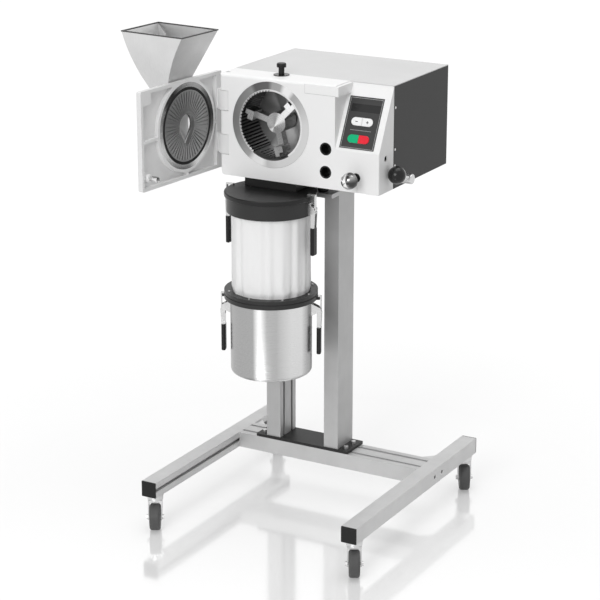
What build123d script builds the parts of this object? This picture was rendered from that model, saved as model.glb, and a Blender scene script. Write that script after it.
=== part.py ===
from build123d import *
from math import cos, radians, sin, sqrt
import os

# Cross beater mill on a mobile stand, millimetres, +Z up.
# The origin is on the floor under the middle of the whole object, with the door open.

# Overall place of the mill: its centre plane, and the seam behind the front cover at y = 0
mill_x = 43
mill_width = 487
mill_height = 280
cover_depth = 83
shell_depth = 328

# Aluminium profile of the stand
profile = 45
profile_lip = 4.5
slot_mouth = 10
slot_width = 17
slot_depth = 8
core_bore = 8

# Stand
stand_width = 672
leg_length = 748
leg_mid_y = 5
cap_thickness = 3
cap_plug = 9
crossbar_y = 126
base_plate_thickness = 8
base_plate_margin = 33.5
plate_depth = 98
post_height = 751
post_spacing = 189
post_offset = 82
post_y = 130
support_plate_thickness = 12
support_plate_depth = 250
support_plate_front = 43
foot_height = 52
foot_diameter = 30
foot_inset_x = 39
foot_inset_y = 22
access_hole = 11

# Stand fittings
screw_shank = 8
screw_head = 13
screw_head_height = 8
low_head_height = 4
screw_grip = 25
screw_inset = 16
nut_side = 15
nut_thickness = 5
bracket_size = 40
bracket_thickness = 5
bracket_height = 38

# Casters
caster_height = 100
caster_inset = 33
caster_turn = 29.4
caster_trail = 18
wheel_diameter = 75
wheel_width = 30
tyre_depth = 10.5
tyre_rounding = 7
axle_diameter = 8
axle_nut = 13
axle_nut_height = 5
fork_plate = 3
fork_gap = 1.5
fork_boss = 9
fork_head = 36
crown_diameter = 44
crown_top_gap = 0.5
stem_plate_diameter = 47
stem_plate_thickness = 3.5
stem_diameter = 14
stem_head = 22
stem_head_height = 3

# Clearances
shaft_clearance = 0.05
running_gap = 0.5
key_gap = 0.5

# Housing
wall = 4
sheet = 2
lip_depth = 14
tray_edge = 20
panel_width = 131.5
panel_foot = 110.8
panel_top = 277
cover_rounding = 8
cover_foot_rounding = 15
edge_rounding = 3
pad_width = 102
pad_overhang = 10
pad_height = 26
pad_drop = 2
pad_rise = 0.3
side_hole = 17
side_hole_y = -43
side_hole_height = 92
finger_recess = 27
finger_recess_depth = 2.5
finger_recess_side = 38.5
sheet_screw_head = 7
sheet_screw_rise = 1.2
sheet_screw = 3.5
sheet_screw_y = 8
top_screw_places = (81.5, 211.5, 248.5, 413.5)
side_screw_heights = (63, 107, 220)
vent_count = 9
vent_pitch = 12
vent_width = 4
vent_length = 110
gland_diameter = 22
gland_bore = 8
gland_length = 24
gland_inset = 60
gland_height = 45

# Grinding chamber
chamber_offset = 85
chamber_height = 154
flange_radius = 117.8
flange_thickness = 10
chamber_radius = 108
chamber_bore = 97.5
chamber_depth = 95
liner_radius = 92.4
jaw_tip_radius = 91.5
jaw_tooth_angle = 5.8
sieve_thickness = 3
sieve_half_angle = 35
sieve_slot_width = 3
sieve_slot_length = 16
sieve_rows = 3
sieve_columns = 11
outlet_half_angle = 30
bulkhead_width = 260
bulkhead_thickness = 10
bulkhead_drop = 10
ring_gap = 0.3

# Rotor and drive
rotor_turn = 45
nose_radius = 28.4
nose_depth = 31
rotor_back_gap = 5
arm_width = 17
arm_thickness = 24
tip_inner_radius = 62
rotor_radius = 88
tip_width = 13
tip_depth = 11
tip_length = 42
tip_offset = 6.5
tip_step = 9
shaft_diameter = 25
shaft_end = 308
motor_radius = 85
motor_front = 90
motor_length = 200
motor_shell = 10
motor_plate = 8
core_radius = 50
air_gap = 1
fan_radius = 60
fan_thickness = 12
motor_foot_width = 130
motor_foot_depth = 24

# Control panel, measured along and up the slanted field
bezel_width = 102
bezel_height = 143
bezel_side = 18.5
bezel_foot = 7
bezel_thickness = 2
bezel_rise = 0.5
window_width = 87
window_height = 21.4
window_side = 4.4
window_foot = 101.6
window_thickness = 1
key_pair_width = 63
key_height = 22
key_split = 1
key_side = 19.5
key_rise = 2
key_seat = 0.1
speed_keys_foot = 64
power_keys_foot = 16.6
key_stem = 6
key_stem_length = 11
key_travel = 1.2

# Lock sockets, knobs and the lock lever
socket_diameter = 35
socket_bore = 27
socket_depth = 38
socket_side = 28
socket_heights = (45, 108.4)
clamp_side = 67.5
clamp_height = 41
clamp_hole = 25
clamp_stem = 10
clamp_head = 45
clamp_head_depth = 28
clamp_reach = 31
clamp_bush_recess = 3
plunger_y = -22.5
plunger_disc = 44
plunger_disc_height = 2
plunger_stem = 10
plunger_neck = 16
plunger_head = 26
plunger_head_height = 11
plunger_height = 33
plunger_below = 9
lever_y = 45
lever_height = 22
lever_shaft = 14
lever_bush = 22
lever_bush_length = 18
lever_hub = 28
lever_hub_length = 36.5
lever_hub_gap = 0.5
lever_arm_diameter = 12
lever_arm_out = 25.5
lever_forward = 73
lever_up = 26
ball_diameter = 48

# Door and hinge
door_open = 95
door_gap = 0.5
door_thickness = 17
door_side_margin = 1.5
door_free_margin = 2
door_foot_margin = 10
door_top_margin = 1
door_rounding = 5
door_rim = 9
door_floor = 5
door_rib = 8
hinge_rim = 25
hinge_side = 10.4
hinge_depth = 29.5
hinge_pin = 12
knuckle_clearance = 0.5
arm_heights = (85, 206)
arm_height = 54
arm_reach = 13
notch_gap = 1
notch_reach = 17
pin_overhang = 12
door_ring_radius = 117.9
door_ring_width = 12.9
door_ring_depth = 6
gasket_width = 8
gasket_rise = 0.3
disc_rim = 4
disc_depth = 12
disc_teeth = 48
disc_groove = 4
disc_groove_depth = 3
feed_radius = 33
feed_drop = 55
ring_screws = 8
bolt_boss = 22
bolt_boss_rise = 6
bolt_diameter = 14
bolt_length = 25
bolt_slot = 6
step_width = 34
step_height = 30

# Hopper and feed neck on the outside of the door, measured from the chamber axis
hopper_top = 405
hopper_waist = 332
hopper_throat = 222
hopper_rim_half = 79
hopper_waist_half = 69.3
hopper_throat_half = 27.4
hopper_rim_out = 153.5
hopper_waist_out = 127.7
hopper_throat_out = 75.2
hopper_rim_in = -47
hopper_waist_in = -5.5
hopper_throat_in = 41
hopper_wall = 3
hopper_rim_strip = 3
hopper_rim_overlap = 1.5
partition_thickness = 2
partition_drop = 60
neck_wall = 4

# Collector under the chamber
collector_y = -83
chute_left = 89
chute_right = 71
chute_front = -70
chute_rear = -2
chute_duct = 130
chute_wall = 7
lid_radius = 127
lid_thickness = 13.5
lid_drop = 25.5
bag_ring_radius = 121
bag_ring_height = 42
bag_ring_bore = 110
bag_radius_belly = 109.5
bag_wall = 1.5
bag_fold_top = 0.6
bag_fold_belly = 2
bag_fold_foot = 1.6
bag_folds = 14
bag_slack = 1.2
bag_tuck = 18
bag_length = 222.4
clamp_ring_radius = 129
clamp_ring_height = 23.6
clamp_ring_bore = 108
clamp_groove = 3
clamp_groove_depth = 2
clamp_lip = 9
clamp_screws = 8
ring_screw_head = 6
ring_screw_rise = 2
container_radius = 112.7
container_height = 220.5
container_wall = 1.5
container_rounding = 12
container_rim_gap = 0.5
container_engage = 6

# Toggle latches
upper_latch_angles = (0, 180)
lower_latch_angles = (22, 202)
latch_radius = 133
latch_drop = 36
latch_pin = 5
ear_inner = 8
ear_thickness = 2
ear_radius = 6.5
ear_foot = 16
bracket_plate = 3
strap_inner = 5.5
strap_thickness = 2
strap_width = 11
strap_foot = 88
latch_web_top = 58
grip_width = 22
grip_thickness = 12
grip_foot = 165
grip_rounding = 4
hook_pin = 4
hook_pin_out = 4
hook_pin_down = 9
hook_half_width = 4.5
hook_thickness = 3
hook_eye = 4
hook_seat = 0.3
hook_claw = 4
upper_claw_reach = 20
lower_claw_reach = 6.5
keeper_reach = 6.5
keeper_height = 7
keeper_width = 16
lower_seat_drop = 19.6

# Places worked out from the sizes above
left = mill_x - mill_width / 2
right = mill_x + mill_width / 2
leg_z = caster_height + profile / 2
stand_top = caster_height + profile
leg_front = leg_mid_y - leg_length / 2
leg_back = leg_mid_y + leg_length / 2
leg_places = (mill_x - (stand_width - profile) / 2, mill_x + (stand_width - profile) / 2)
post_mid = mill_x - post_offset
post_places = (post_mid - post_spacing / 2, post_mid + post_spacing / 2)
post_foot = stand_top + base_plate_thickness
post_top = post_foot + post_height
plate_top = post_top + support_plate_thickness
base = plate_top + foot_height
top = base + mill_height
face_right = right - panel_width
chamber_x = mill_x - chamber_offset
chamber_z = base + chamber_height
front = -cover_depth
screw_sink = (sheet_screw_head - sheet_screw) / 2
hinge_x = left + hinge_side
hinge_y = front + hinge_depth
slot_rows = (crossbar_y - profile / 2, crossbar_y + profile / 2)

os.makedirs("parts", exist_ok=True)


def save(name, *pieces):
    """Write one node, with its pieces as separate solids."""
    for piece in pieces:
        piece.part.label = name
    node = pieces[0].part if len(pieces) == 1 else Compound([piece.part for piece in pieces], label=name)
    export_step(node, f"parts/{name}.step")


def upright(y):
    """Plane facing the front at depth y, with x to the right and z up."""
    return Plane.XZ.offset(-y)


open_frame = Plane(
    origin=(hinge_x, hinge_y, 0),
    x_dir=(cos(radians(door_open)), -sin(radians(door_open)), 0),
    z_dir=(0, 0, 1),
)


def hung(y):
    """Plane of the open door that lies at depth y when it is closed; x counts from the hinge."""
    return Plane(
        origin=open_frame.from_local_coords((0, y - hinge_y, 0)),
        x_dir=open_frame.x_dir,
        z_dir=-open_frame.y_dir,
    )


def block(x0, x1, y0, y1, z0, z1, mode=Mode.ADD):
    """Box between two corners, in the axes of the whole object."""
    with BuildSketch(Plane.XY.offset(z0)) as outline:
        with Locations(((x0 + x1) / 2, (y0 + y1) / 2)):
            Rectangle(x1 - x0, y1 - y0)
    extrude(outline.sketch, amount=z1 - z0, mode=mode)


def disc(plane, x, y, radius, depth, mode=Mode.ADD):
    """Round bar standing on a plane at x, y."""
    with BuildSketch(plane) as outline:
        with Locations((x, y)):
            Circle(radius)
    extrude(outline.sketch, amount=depth, mode=mode)


def tube(plane, x, y, radius, bore, depth):
    """Ring or tube standing on a plane at x, y."""
    with BuildSketch(plane) as outline:
        with Locations((x, y)):
            Circle(radius)
            Circle(bore, mode=Mode.SUBTRACT)
    extrude(outline.sketch, amount=depth)


def screw(plane, x, y, grip, head=screw_head, head_height=screw_head_height, shank=screw_shank):
    """Screw with its head on the plane and its shank going down from it."""
    disc(plane, x, y, head / 2, head_height)
    disc(plane, x, y, shank / 2, -grip)


def sunk_head(x, mode=Mode.ADD):
    """Flush head of a top screw, or its seat when it is cut out."""
    with Locations((x, sheet_screw_y, top - screw_sink / 2)):
        Cone(sheet_screw / 2, sheet_screw_head / 2, screw_sink, mode=mode)


def profile_section(modules, open_sides):
    """Profile of modules side by side along x, with its slots open on the named sides."""
    width = modules * profile
    Rectangle(width, profile)
    with GridLocations(profile, profile, modules, 1):
        Circle(core_bore / 2, mode=Mode.SUBTRACT)
    cavity_at = profile / 2 - profile_lip - slot_depth / 2
    mouth_at = profile / 2 - profile_lip / 2
    for side, way in (("top", 1), ("bottom", -1)):
        with Locations((0, way * cavity_at)):
            with GridLocations(profile, profile, modules, 1):
                Rectangle(slot_width, slot_depth, mode=Mode.SUBTRACT)
        if side in open_sides:
            with Locations((0, way * mouth_at)):
                with GridLocations(profile, profile, modules, 1):
                    Rectangle(slot_mouth, profile_lip, mode=Mode.SUBTRACT)
    for side, way in (("right", 1), ("left", -1)):
        end = way * (width - profile) / 2
        with Locations((end + way * cavity_at, 0)):
            Rectangle(slot_depth, slot_width, mode=Mode.SUBTRACT)
        if side in open_sides:
            with Locations((end + way * mouth_at, 0)):
                Rectangle(profile_lip, slot_mouth, mode=Mode.SUBTRACT)


# Legs on the floor casters, with their slots facing each other
with BuildPart() as legs:
    for leg_x, side in zip(leg_places, ("right", "left")):
        leg_end = Plane((leg_x, leg_front + cap_thickness, leg_z), x_dir=(1, 0, 0), z_dir=(0, -1, 0))
        with BuildSketch(leg_end):
            profile_section(1, side)
        extrude(amount=-(leg_length - 2 * cap_thickness))
    for row in slot_rows:
        for leg_x in leg_places:
            outward = 1 if leg_x > mill_x else -1
            disc(Plane.YZ.offset(leg_x), row, leg_z, access_hole / 2, outward * profile / 2, Mode.SUBTRACT)
save("legs", legs)

with BuildPart() as leg_end_caps:
    for leg_x in leg_places:
        for cap_y, inward in ((leg_front, 1), (leg_back, -1)):
            cap_plane = Plane((leg_x, cap_y, leg_z), x_dir=(1, 0, 0), z_dir=(0, inward, 0))
            with BuildSketch(cap_plane):
                RectangleRounded(profile, profile, cap_thickness / 2)
            extrude(amount=cap_thickness)
            disc(cap_plane, 0, 0, core_bore / 2, cap_plug)
save("leg_end_caps", leg_end_caps)

crossbar_length = stand_width - 2 * profile
crossbar_left = leg_places[0] + profile / 2
with BuildPart() as crossbar:
    with BuildSketch(Plane((crossbar_left, crossbar_y, leg_z), x_dir=(0, 1, 0), z_dir=(1, 0, 0))):
        profile_section(2, ("top", "right"))
    extrude(amount=crossbar_length)
save("crossbar", crossbar)

# Base plate on the crossbar, with two posts standing on it
plate_left = post_places[0] - profile / 2 - base_plate_margin
plate_right = post_places[1] + profile / 2 + base_plate_margin
plate_ends = (plate_left + screw_inset, plate_right - screw_inset)
plate_screws = [(x, row) for x in plate_ends for row in slot_rows]
post_screws = [(x, post_y + way * profile / 2) for x in post_places for way in (-1, 1)]
with BuildPart() as base_plate:
    block(plate_left, plate_right, post_y - plate_depth / 2, post_y + plate_depth / 2, stand_top, post_foot)
    fillet(base_plate.edges().filter_by(Axis.Z), edge_rounding)
    for x, y in plate_screws:
        disc(Plane.XY.offset(stand_top), x, y, screw_shank / 2, base_plate_thickness, Mode.SUBTRACT)
    for x, y in post_screws:
        disc(Plane.XY.offset(stand_top), x, y, screw_shank / 2, base_plate_thickness, Mode.SUBTRACT)
        disc(Plane.XY.offset(stand_top), x, y, screw_head / 2, low_head_height, Mode.SUBTRACT)
save("base_plate", base_plate)

with BuildPart() as posts:
    for post_x, side in zip(post_places, ("bottom", "top")):
        with BuildSketch(Plane((post_x, post_y, post_foot), x_dir=(0, 1, 0), z_dir=(0, 0, 1))):
            profile_section(2, side)
        extrude(amount=post_height)
save("posts", posts)

support_left = post_places[0] - profile / 2
support_right = post_places[1] + profile / 2
support_back = support_plate_front + support_plate_depth
with BuildPart() as support_plate:
    block(support_left, support_right, support_plate_front, support_back, post_top, plate_top)
    for x, y in post_screws:
        disc(Plane.XY.offset(post_top), x, y, screw_shank / 2, support_plate_thickness, Mode.SUBTRACT)
        disc(Plane.XY.offset(plate_top), x, y, screw_head / 2, -low_head_height, Mode.SUBTRACT)
save("support_plate", support_plate)

with BuildPart() as machine_feet:
    for x in (support_left + foot_inset_x, support_right - foot_inset_x):
        for y in (support_plate_front + foot_inset_y, support_back - foot_inset_y):
            disc(Plane.XY.offset(plate_top), x, y, foot_diameter / 2, foot_height)
    chamfer(machine_feet.edges().filter_by(GeomType.CIRCLE).group_by(Axis.Z)[0], edge_rounding)
save("machine_feet", machine_feet)

# Screws, slot nuts, corner brackets and caster stems
caster_places = [
    (x, y) for x in leg_places for y in (leg_front + caster_inset, leg_back - caster_inset)
]
stem_bottom = caster_height - stem_plate_thickness
fork_top = stem_bottom - crown_top_gap
wheel_radius = wheel_diameter / 2
fork_crown = wheel_diameter + 3 * fork_plate
stem_foot = fork_crown - running_gap
rear_face = crossbar_y + profile
bracket_mid = bracket_size / 2 + bracket_thickness / 2
leg_inner = (leg_places[0] + profile / 2, leg_places[1] - profile / 2)
with BuildPart() as brackets:
    for inner, way in zip(leg_inner, (1, -1)):
        with BuildSketch(Plane((inner, rear_face, leg_z - bracket_height / 2))):
            with BuildLine():
                Polyline(
                    (0, 0),
                    (way * bracket_size, 0),
                    (way * bracket_size, bracket_thickness),
                    (way * bracket_thickness, bracket_thickness),
                    (way * bracket_thickness, bracket_size),
                    (0, bracket_size),
                    close=True,
                )
            make_face()
        extrude(amount=bracket_height)
        for rib_foot in (leg_z - bracket_height / 2, leg_z + bracket_height / 2 - bracket_thickness):
            with BuildSketch(Plane((inner, rear_face, rib_foot))):
                with BuildLine():
                    Polyline((0, 0), (way * bracket_size, 0), (0, bracket_size), close=True)
                make_face()
            extrude(amount=bracket_thickness)
        across = Plane((inner + way * bracket_mid, rear_face + bracket_thickness, leg_z), z_dir=(0, 1, 0))
        disc(across, 0, 0, screw_shank / 2, -bracket_thickness, Mode.SUBTRACT)
        along = Plane((inner + way * bracket_thickness, rear_face + bracket_mid, leg_z), z_dir=(way, 0, 0))
        disc(along, 0, 0, screw_shank / 2, -bracket_thickness, Mode.SUBTRACT)

nut_grip = profile_lip + nut_thickness
with BuildPart() as stand_screws:
    for inner, way in zip(leg_inner, (1, -1)):
        across = Plane((inner + way * bracket_mid, rear_face + bracket_thickness, leg_z), z_dir=(0, 1, 0))
        screw(across, 0, 0, bracket_thickness + nut_grip)
        along = Plane((inner + way * bracket_thickness, rear_face + bracket_mid, leg_z), z_dir=(way, 0, 0))
        screw(along, 0, 0, bracket_thickness + nut_grip)
        for row in slot_rows:
            end = Plane((inner - way * profile_lip, row, leg_z), z_dir=(-way, 0, 0))
            screw(end, 0, 0, profile_lip + screw_grip, head_height=slot_depth)
    for x, y in plate_screws:
        screw(Plane.XY.offset(post_foot), x, y, base_plate_thickness + nut_grip)
    for x, y in post_screws:
        disc(Plane.XY.offset(stand_top), x, y, screw_head / 2, low_head_height)
        disc(Plane.XY.offset(stand_top), x, y, screw_shank / 2, base_plate_thickness + screw_grip)
        disc(Plane.XY.offset(plate_top), x, y, screw_head / 2, -low_head_height)
        disc(Plane.XY.offset(plate_top), x, y, screw_shank / 2, -(support_plate_thickness + screw_grip))

with BuildPart() as slot_nuts:
    for inner, way in zip(leg_inner, (1, -1)):
        nut_planes = (
            Plane((inner + way * bracket_mid, rear_face - profile_lip, leg_z), z_dir=(0, -1, 0)),
            Plane((inner - way * profile_lip, rear_face + bracket_mid, leg_z), z_dir=(-way, 0, 0)),
        )
        for nut_plane in nut_planes:
            with BuildSketch(nut_plane):
                Rectangle(nut_side, nut_side)
                Circle(screw_shank / 2, mode=Mode.SUBTRACT)
            extrude(amount=nut_thickness)
    for x, y in plate_screws:
        with BuildSketch(Plane((x, y, stand_top - profile_lip))):
            Rectangle(nut_side, nut_side)
            Circle(screw_shank / 2, mode=Mode.SUBTRACT)
        extrude(amount=-nut_thickness)

with BuildPart() as caster_stems:
    for x, y in caster_places:
        disc(Plane.XY.offset(stem_bottom), x, y, stem_plate_diameter / 2, stem_plate_thickness)
        disc(Plane.XY.offset(stem_foot), x, y, stem_diameter / 2, stem_bottom - stem_foot)
        disc(Plane.XY.offset(stem_foot), x, y, stem_head / 2, -stem_head_height)
save("stand_fittings", brackets, stand_screws, slot_nuts, caster_stems)

# Casters: a fork that swivels and a wheel that turns on its bolt
caster_names = ("front_left", "rear_left", "front_right", "rear_right")
side_inner = wheel_width / 2 + fork_gap
side_outer = side_inner + fork_plate
bridge_foot = wheel_diameter + fork_plate
trail_x = sin(radians(caster_turn))
trail_y = -cos(radians(caster_turn))
for corner, (x, y) in zip(caster_names, caster_places):
    cheek_plane = Plane((x, y, 0), x_dir=(trail_x, trail_y, 0), z_dir=(trail_y, -trail_x, 0))
    crown_plane = Plane((x, y, 0), x_dir=(trail_x, trail_y, 0), z_dir=(0, 0, 1))
    bolt_plane = cheek_plane.offset(-side_outer)
    wheel_plane = cheek_plane.offset(-wheel_width / 2)
    with BuildPart() as fork:
        for way in (1, -1):
            with BuildSketch(cheek_plane.offset(way * side_inner)):
                with Locations((0, (bridge_foot + fork_crown) / 2)):
                    Rectangle(fork_head, fork_crown - bridge_foot)
                with Locations((caster_trail, wheel_radius)):
                    Circle(fork_boss)
                make_hull()
            extrude(amount=way * fork_plate)
        with BuildSketch(crown_plane.offset(bridge_foot)):
            Rectangle(fork_head, 2 * side_outer)
        extrude(amount=fork_crown - bridge_foot)
        disc(crown_plane.offset(fork_crown), 0, 0, crown_diameter / 2, fork_top - fork_crown)
        head_room = stem_head / 2 + running_gap
        disc(crown_plane.offset(bridge_foot), 0, 0, head_room, fork_crown - bridge_foot, Mode.SUBTRACT)
        disc(crown_plane, 0, 0, stem_diameter / 2 + shaft_clearance, caster_height, Mode.SUBTRACT)
        disc(bolt_plane, caster_trail, wheel_radius, axle_diameter / 2, 2 * side_outer, Mode.SUBTRACT)
    with BuildPart() as axle_bolt:
        disc(bolt_plane, caster_trail, wheel_radius, axle_diameter / 2, 2 * side_outer + axle_nut_height)
        disc(bolt_plane, caster_trail, wheel_radius, axle_nut / 2, -axle_nut_height)
    with BuildPart() as nut:
        with BuildSketch(cheek_plane.offset(side_outer)):
            with Locations((caster_trail, wheel_radius)):
                RegularPolygon(axle_nut / 2, 6)
                Circle(axle_diameter / 2, mode=Mode.SUBTRACT)
        extrude(amount=axle_nut_height)
    save(f"caster_fork_{corner}", fork, axle_bolt, nut)

    hub_radius = wheel_radius - tyre_depth
    hub_bore = axle_diameter / 2 + shaft_clearance
    with BuildPart() as hub:
        tube(wheel_plane, caster_trail, wheel_radius, hub_radius, hub_bore, wheel_width)
    with BuildPart() as tyre:
        tube(wheel_plane, caster_trail, wheel_radius, wheel_radius, hub_radius, wheel_width)
        fillet(tyre.edges().filter_by(GeomType.CIRCLE).sort_by(SortBy.RADIUS)[-2:], tyre_rounding)
    save(f"caster_wheel_{corner}", hub, tyre)

# Front cover: the face that the door closes on, and the slanted field beside it
panel_foot_z = base + panel_foot
panel_rise = panel_top - panel_foot
panel_drop = wall * sqrt(1 + (panel_rise / cover_depth) ** 2)
panel_plane = Plane((face_right, front, panel_foot_z), x_dir=(1, 0, 0), z_dir=(0, -panel_rise, cover_depth))
bezel_left = panel_width - bezel_side - bezel_width
bezel_sunk = bezel_thickness - bezel_rise
bezel_mid = (bezel_left + bezel_width / 2, bezel_foot + bezel_height / 2)
key_pair_x = bezel_left + key_side + key_pair_width / 2
key_rows = (bezel_foot + power_keys_foot + key_height / 2, bezel_foot + speed_keys_foot + key_height / 2)
key_offset = (key_pair_width + key_split) / 4
socket_x = face_right - socket_side
clamp_x = right - clamp_side
arm_spans = [(base + height - arm_height / 2, base + height + arm_height / 2) for height in arm_heights]
pin_bottom = arm_spans[0][0] - pin_overhang
pin_top = arm_spans[-1][1] + pin_overhang
top_screws = [left + place for place in top_screw_places]
chute_x0 = chamber_x - chute_left
chute_x1 = chamber_x + chute_right
with BuildPart() as front_cover:
    with BuildSketch(upright(front)) as face:
        with Locations((left, base)):
            Rectangle(mill_width - panel_width, mill_height, align=(Align.MIN, Align.MIN))
        fillet(face.vertices().group_by(Axis.X)[0].sort_by(Axis.Y)[0], cover_foot_rounding)
    extrude(amount=-cover_depth)
    top_edge = front_cover.edges().filter_by(Axis.X).group_by(Axis.Y)[0].sort_by(Axis.Z)[-1]
    fillet(top_edge, cover_rounding)
    with BuildSketch(Plane.YZ.offset(face_right)):
        with BuildLine():
            Polyline((0, base), (front, base), (front, panel_foot_z), (0, base + panel_top), close=True)
        make_face()
    extrude(amount=panel_width)
    fillet(front_cover.edges().filter_by(Axis.Z).group_by(Axis.Y)[0].sort_by(Axis.X)[-1], edge_rounding)
    block(
        face_right - pad_width + pad_overhang, face_right + pad_overhang,
        front - pad_rise, 0, top - pad_drop - pad_height, top - pad_drop,
    )
    block(left + wall, face_right - wall, front + wall, 0, base + wall, top - wall, Mode.SUBTRACT)
    with BuildSketch(Plane.YZ.offset(face_right)):
        with BuildLine():
            Polyline(
                (0, base + wall),
                (front + wall, base + wall),
                (front + wall, panel_foot_z + wall * panel_rise / cover_depth - panel_drop),
                (0, base + panel_top - panel_drop),
                close=True,
            )
        make_face()
    extrude(amount=panel_width - wall, mode=Mode.SUBTRACT)
    # Lip that goes in behind the sheets
    block(left + sheet, right - sheet, 0, lip_depth, top - sheet - wall, top - sheet)
    block(left + sheet, left + sheet + wall, 0, lip_depth, base + tray_edge + wall, top - sheet)
    block(right - sheet - wall, right - sheet, 0, lip_depth, base + tray_edge + wall, top - sheet)
    for x in top_screws:
        disc(Plane.XY.offset(top), x, sheet_screw_y, sheet_screw / 2, -(sheet + wall), Mode.SUBTRACT)
    for height in side_screw_heights:
        for side_x, way in ((left, 1), (right, -1)):
            side_plane = Plane((side_x, sheet_screw_y, base + height), z_dir=(way, 0, 0))
            disc(side_plane, 0, 0, sheet_screw / 2, sheet + wall, Mode.SUBTRACT)
    # Corner post that carries the hinge pin, with a notch for each hinge arm
    post_right = hinge_x + notch_reach + wall
    block(left, post_right, front, hinge_y + hinge_depth + notch_gap + wall, pin_bottom, pin_top)
    for low, high in arm_spans:
        block(
            left - wall, hinge_x + notch_reach, front - wall, hinge_y + hinge_depth + notch_gap,
            low - notch_gap, high + notch_gap, Mode.SUBTRACT,
        )
        disc(
            Plane.XY.offset(low - notch_gap), hinge_x, hinge_y, hinge_depth + notch_gap,
            high - low + 2 * notch_gap, Mode.SUBTRACT,
        )
    pin_bore = hinge_pin / 2 + shaft_clearance
    disc(Plane.XY.offset(base), hinge_x, hinge_y, pin_bore, mill_height, Mode.SUBTRACT)
    # Rounded front corner, so that the door's inner face swings past it
    with BuildSketch(Plane.XY.offset(base)):
        with Locations((left, front)):
            Rectangle(cover_rounding, cover_rounding, align=(Align.MIN, Align.MIN))
        with Locations((left + cover_rounding, front + cover_rounding)):
            Circle(cover_rounding, mode=Mode.SUBTRACT)
    extrude(amount=mill_height, mode=Mode.SUBTRACT)
    # Openings in the face, the side and the bottom
    pad_plane = upright(front - pad_rise)
    disc(pad_plane, chamber_x, chamber_z, flange_radius + ring_gap, -cover_depth, Mode.SUBTRACT)
    for height in socket_heights:
        disc(upright(front), socket_x, base + height, socket_diameter / 2, -2 * wall, Mode.SUBTRACT)
    disc(upright(front), clamp_x, base + clamp_height, clamp_hole / 2, -2 * wall, Mode.SUBTRACT)
    recess_mid = right - finger_recess_side - finger_recess
    with BuildSketch(upright(front)):
        with Locations((recess_mid, base)):
            Circle(finger_recess)
            Rectangle(finger_recess, finger_recess, align=(Align.MIN, Align.MIN), mode=Mode.INTERSECT)
    extrude(amount=-finger_recess_depth, mode=Mode.SUBTRACT)
    side_hole_z = base + side_hole_height
    disc(Plane.YZ.offset(right), side_hole_y, side_hole_z, side_hole / 2, -2 * wall, Mode.SUBTRACT)
    block(
        chute_x0 - ring_gap, chute_x1 + ring_gap, chute_front - ring_gap, 0,
        base - wall, base + 2 * wall, Mode.SUBTRACT,
    )
    plunger_bore = plunger_stem / 2 + shaft_clearance
    disc(Plane.XY.offset(top), chamber_x, plunger_y, plunger_bore, -2 * wall, Mode.SUBTRACT)
    # Seat of the control panel, with a hole for the stem of each key
    with BuildSketch(panel_plane):
        with Locations(bezel_mid):
            Rectangle(bezel_width, bezel_height)
    extrude(amount=-bezel_sunk, mode=Mode.SUBTRACT)
    for row in key_rows:
        for way in (-1, 1):
            disc(
                panel_plane, key_pair_x + way * key_offset, row,
                key_stem / 2 + key_gap, -(bezel_sunk + 2 * wall), Mode.SUBTRACT,
            )
save("front_cover", front_cover)

# Control panel
with BuildPart() as panel_bezel:
    with BuildSketch(panel_plane.offset(-bezel_sunk)):
        with Locations(bezel_mid):
            Rectangle(bezel_width, bezel_height)
        for row in key_rows:
            with Locations((key_pair_x, row)):
                SlotOverall(key_pair_width + 2 * key_gap, key_height + 2 * key_gap, mode=Mode.SUBTRACT)
    extrude(amount=bezel_thickness)
    window_mid = (
        bezel_left + bezel_width - window_side - window_width / 2,
        bezel_foot + window_foot + window_height / 2,
    )
    with BuildSketch(panel_plane.offset(bezel_rise)):
        with Locations(window_mid):
            Rectangle(window_width, window_height)
    extrude(amount=-window_thickness, mode=Mode.SUBTRACT)
save("panel_bezel", panel_bezel)

with BuildPart() as display_window:
    with BuildSketch(panel_plane.offset(bezel_rise)):
        with Locations(window_mid):
            Rectangle(window_width, window_height)
    extrude(amount=-window_thickness)
save("display_window", display_window)

key_floor = key_travel + key_seat - bezel_sunk
key_names = (("start_key", "stop_key"), ("minus_key", "plus_key"))
for row, names in zip(key_rows, key_names):
    for name, way in zip(names, (-1, 1)):
        with BuildPart() as key:
            with BuildSketch(panel_plane.offset(key_floor)):
                with Locations((key_pair_x, row)):
                    SlotOverall(key_pair_width, key_height)
                with Locations((key_pair_x + way * key_offset, row)):
                    Rectangle((key_pair_width - key_split) / 2, key_height, mode=Mode.INTERSECT)
            extrude(amount=key_rise - key_floor)
            stem_x = key_pair_x + way * key_offset
            disc(panel_plane.offset(key_floor), stem_x, row, key_stem / 2, -key_stem_length)
        save(name, key)

# Sheets behind the front cover
with BuildPart() as top_cover:
    block(left, right, 0, shell_depth, top - sheet, top)
    for x in top_screws:
        disc(Plane.XY.offset(top), x, sheet_screw_y, sheet_screw / 2, -sheet, Mode.SUBTRACT)
        sunk_head(x, Mode.SUBTRACT)
save("top_cover", top_cover)

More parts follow.
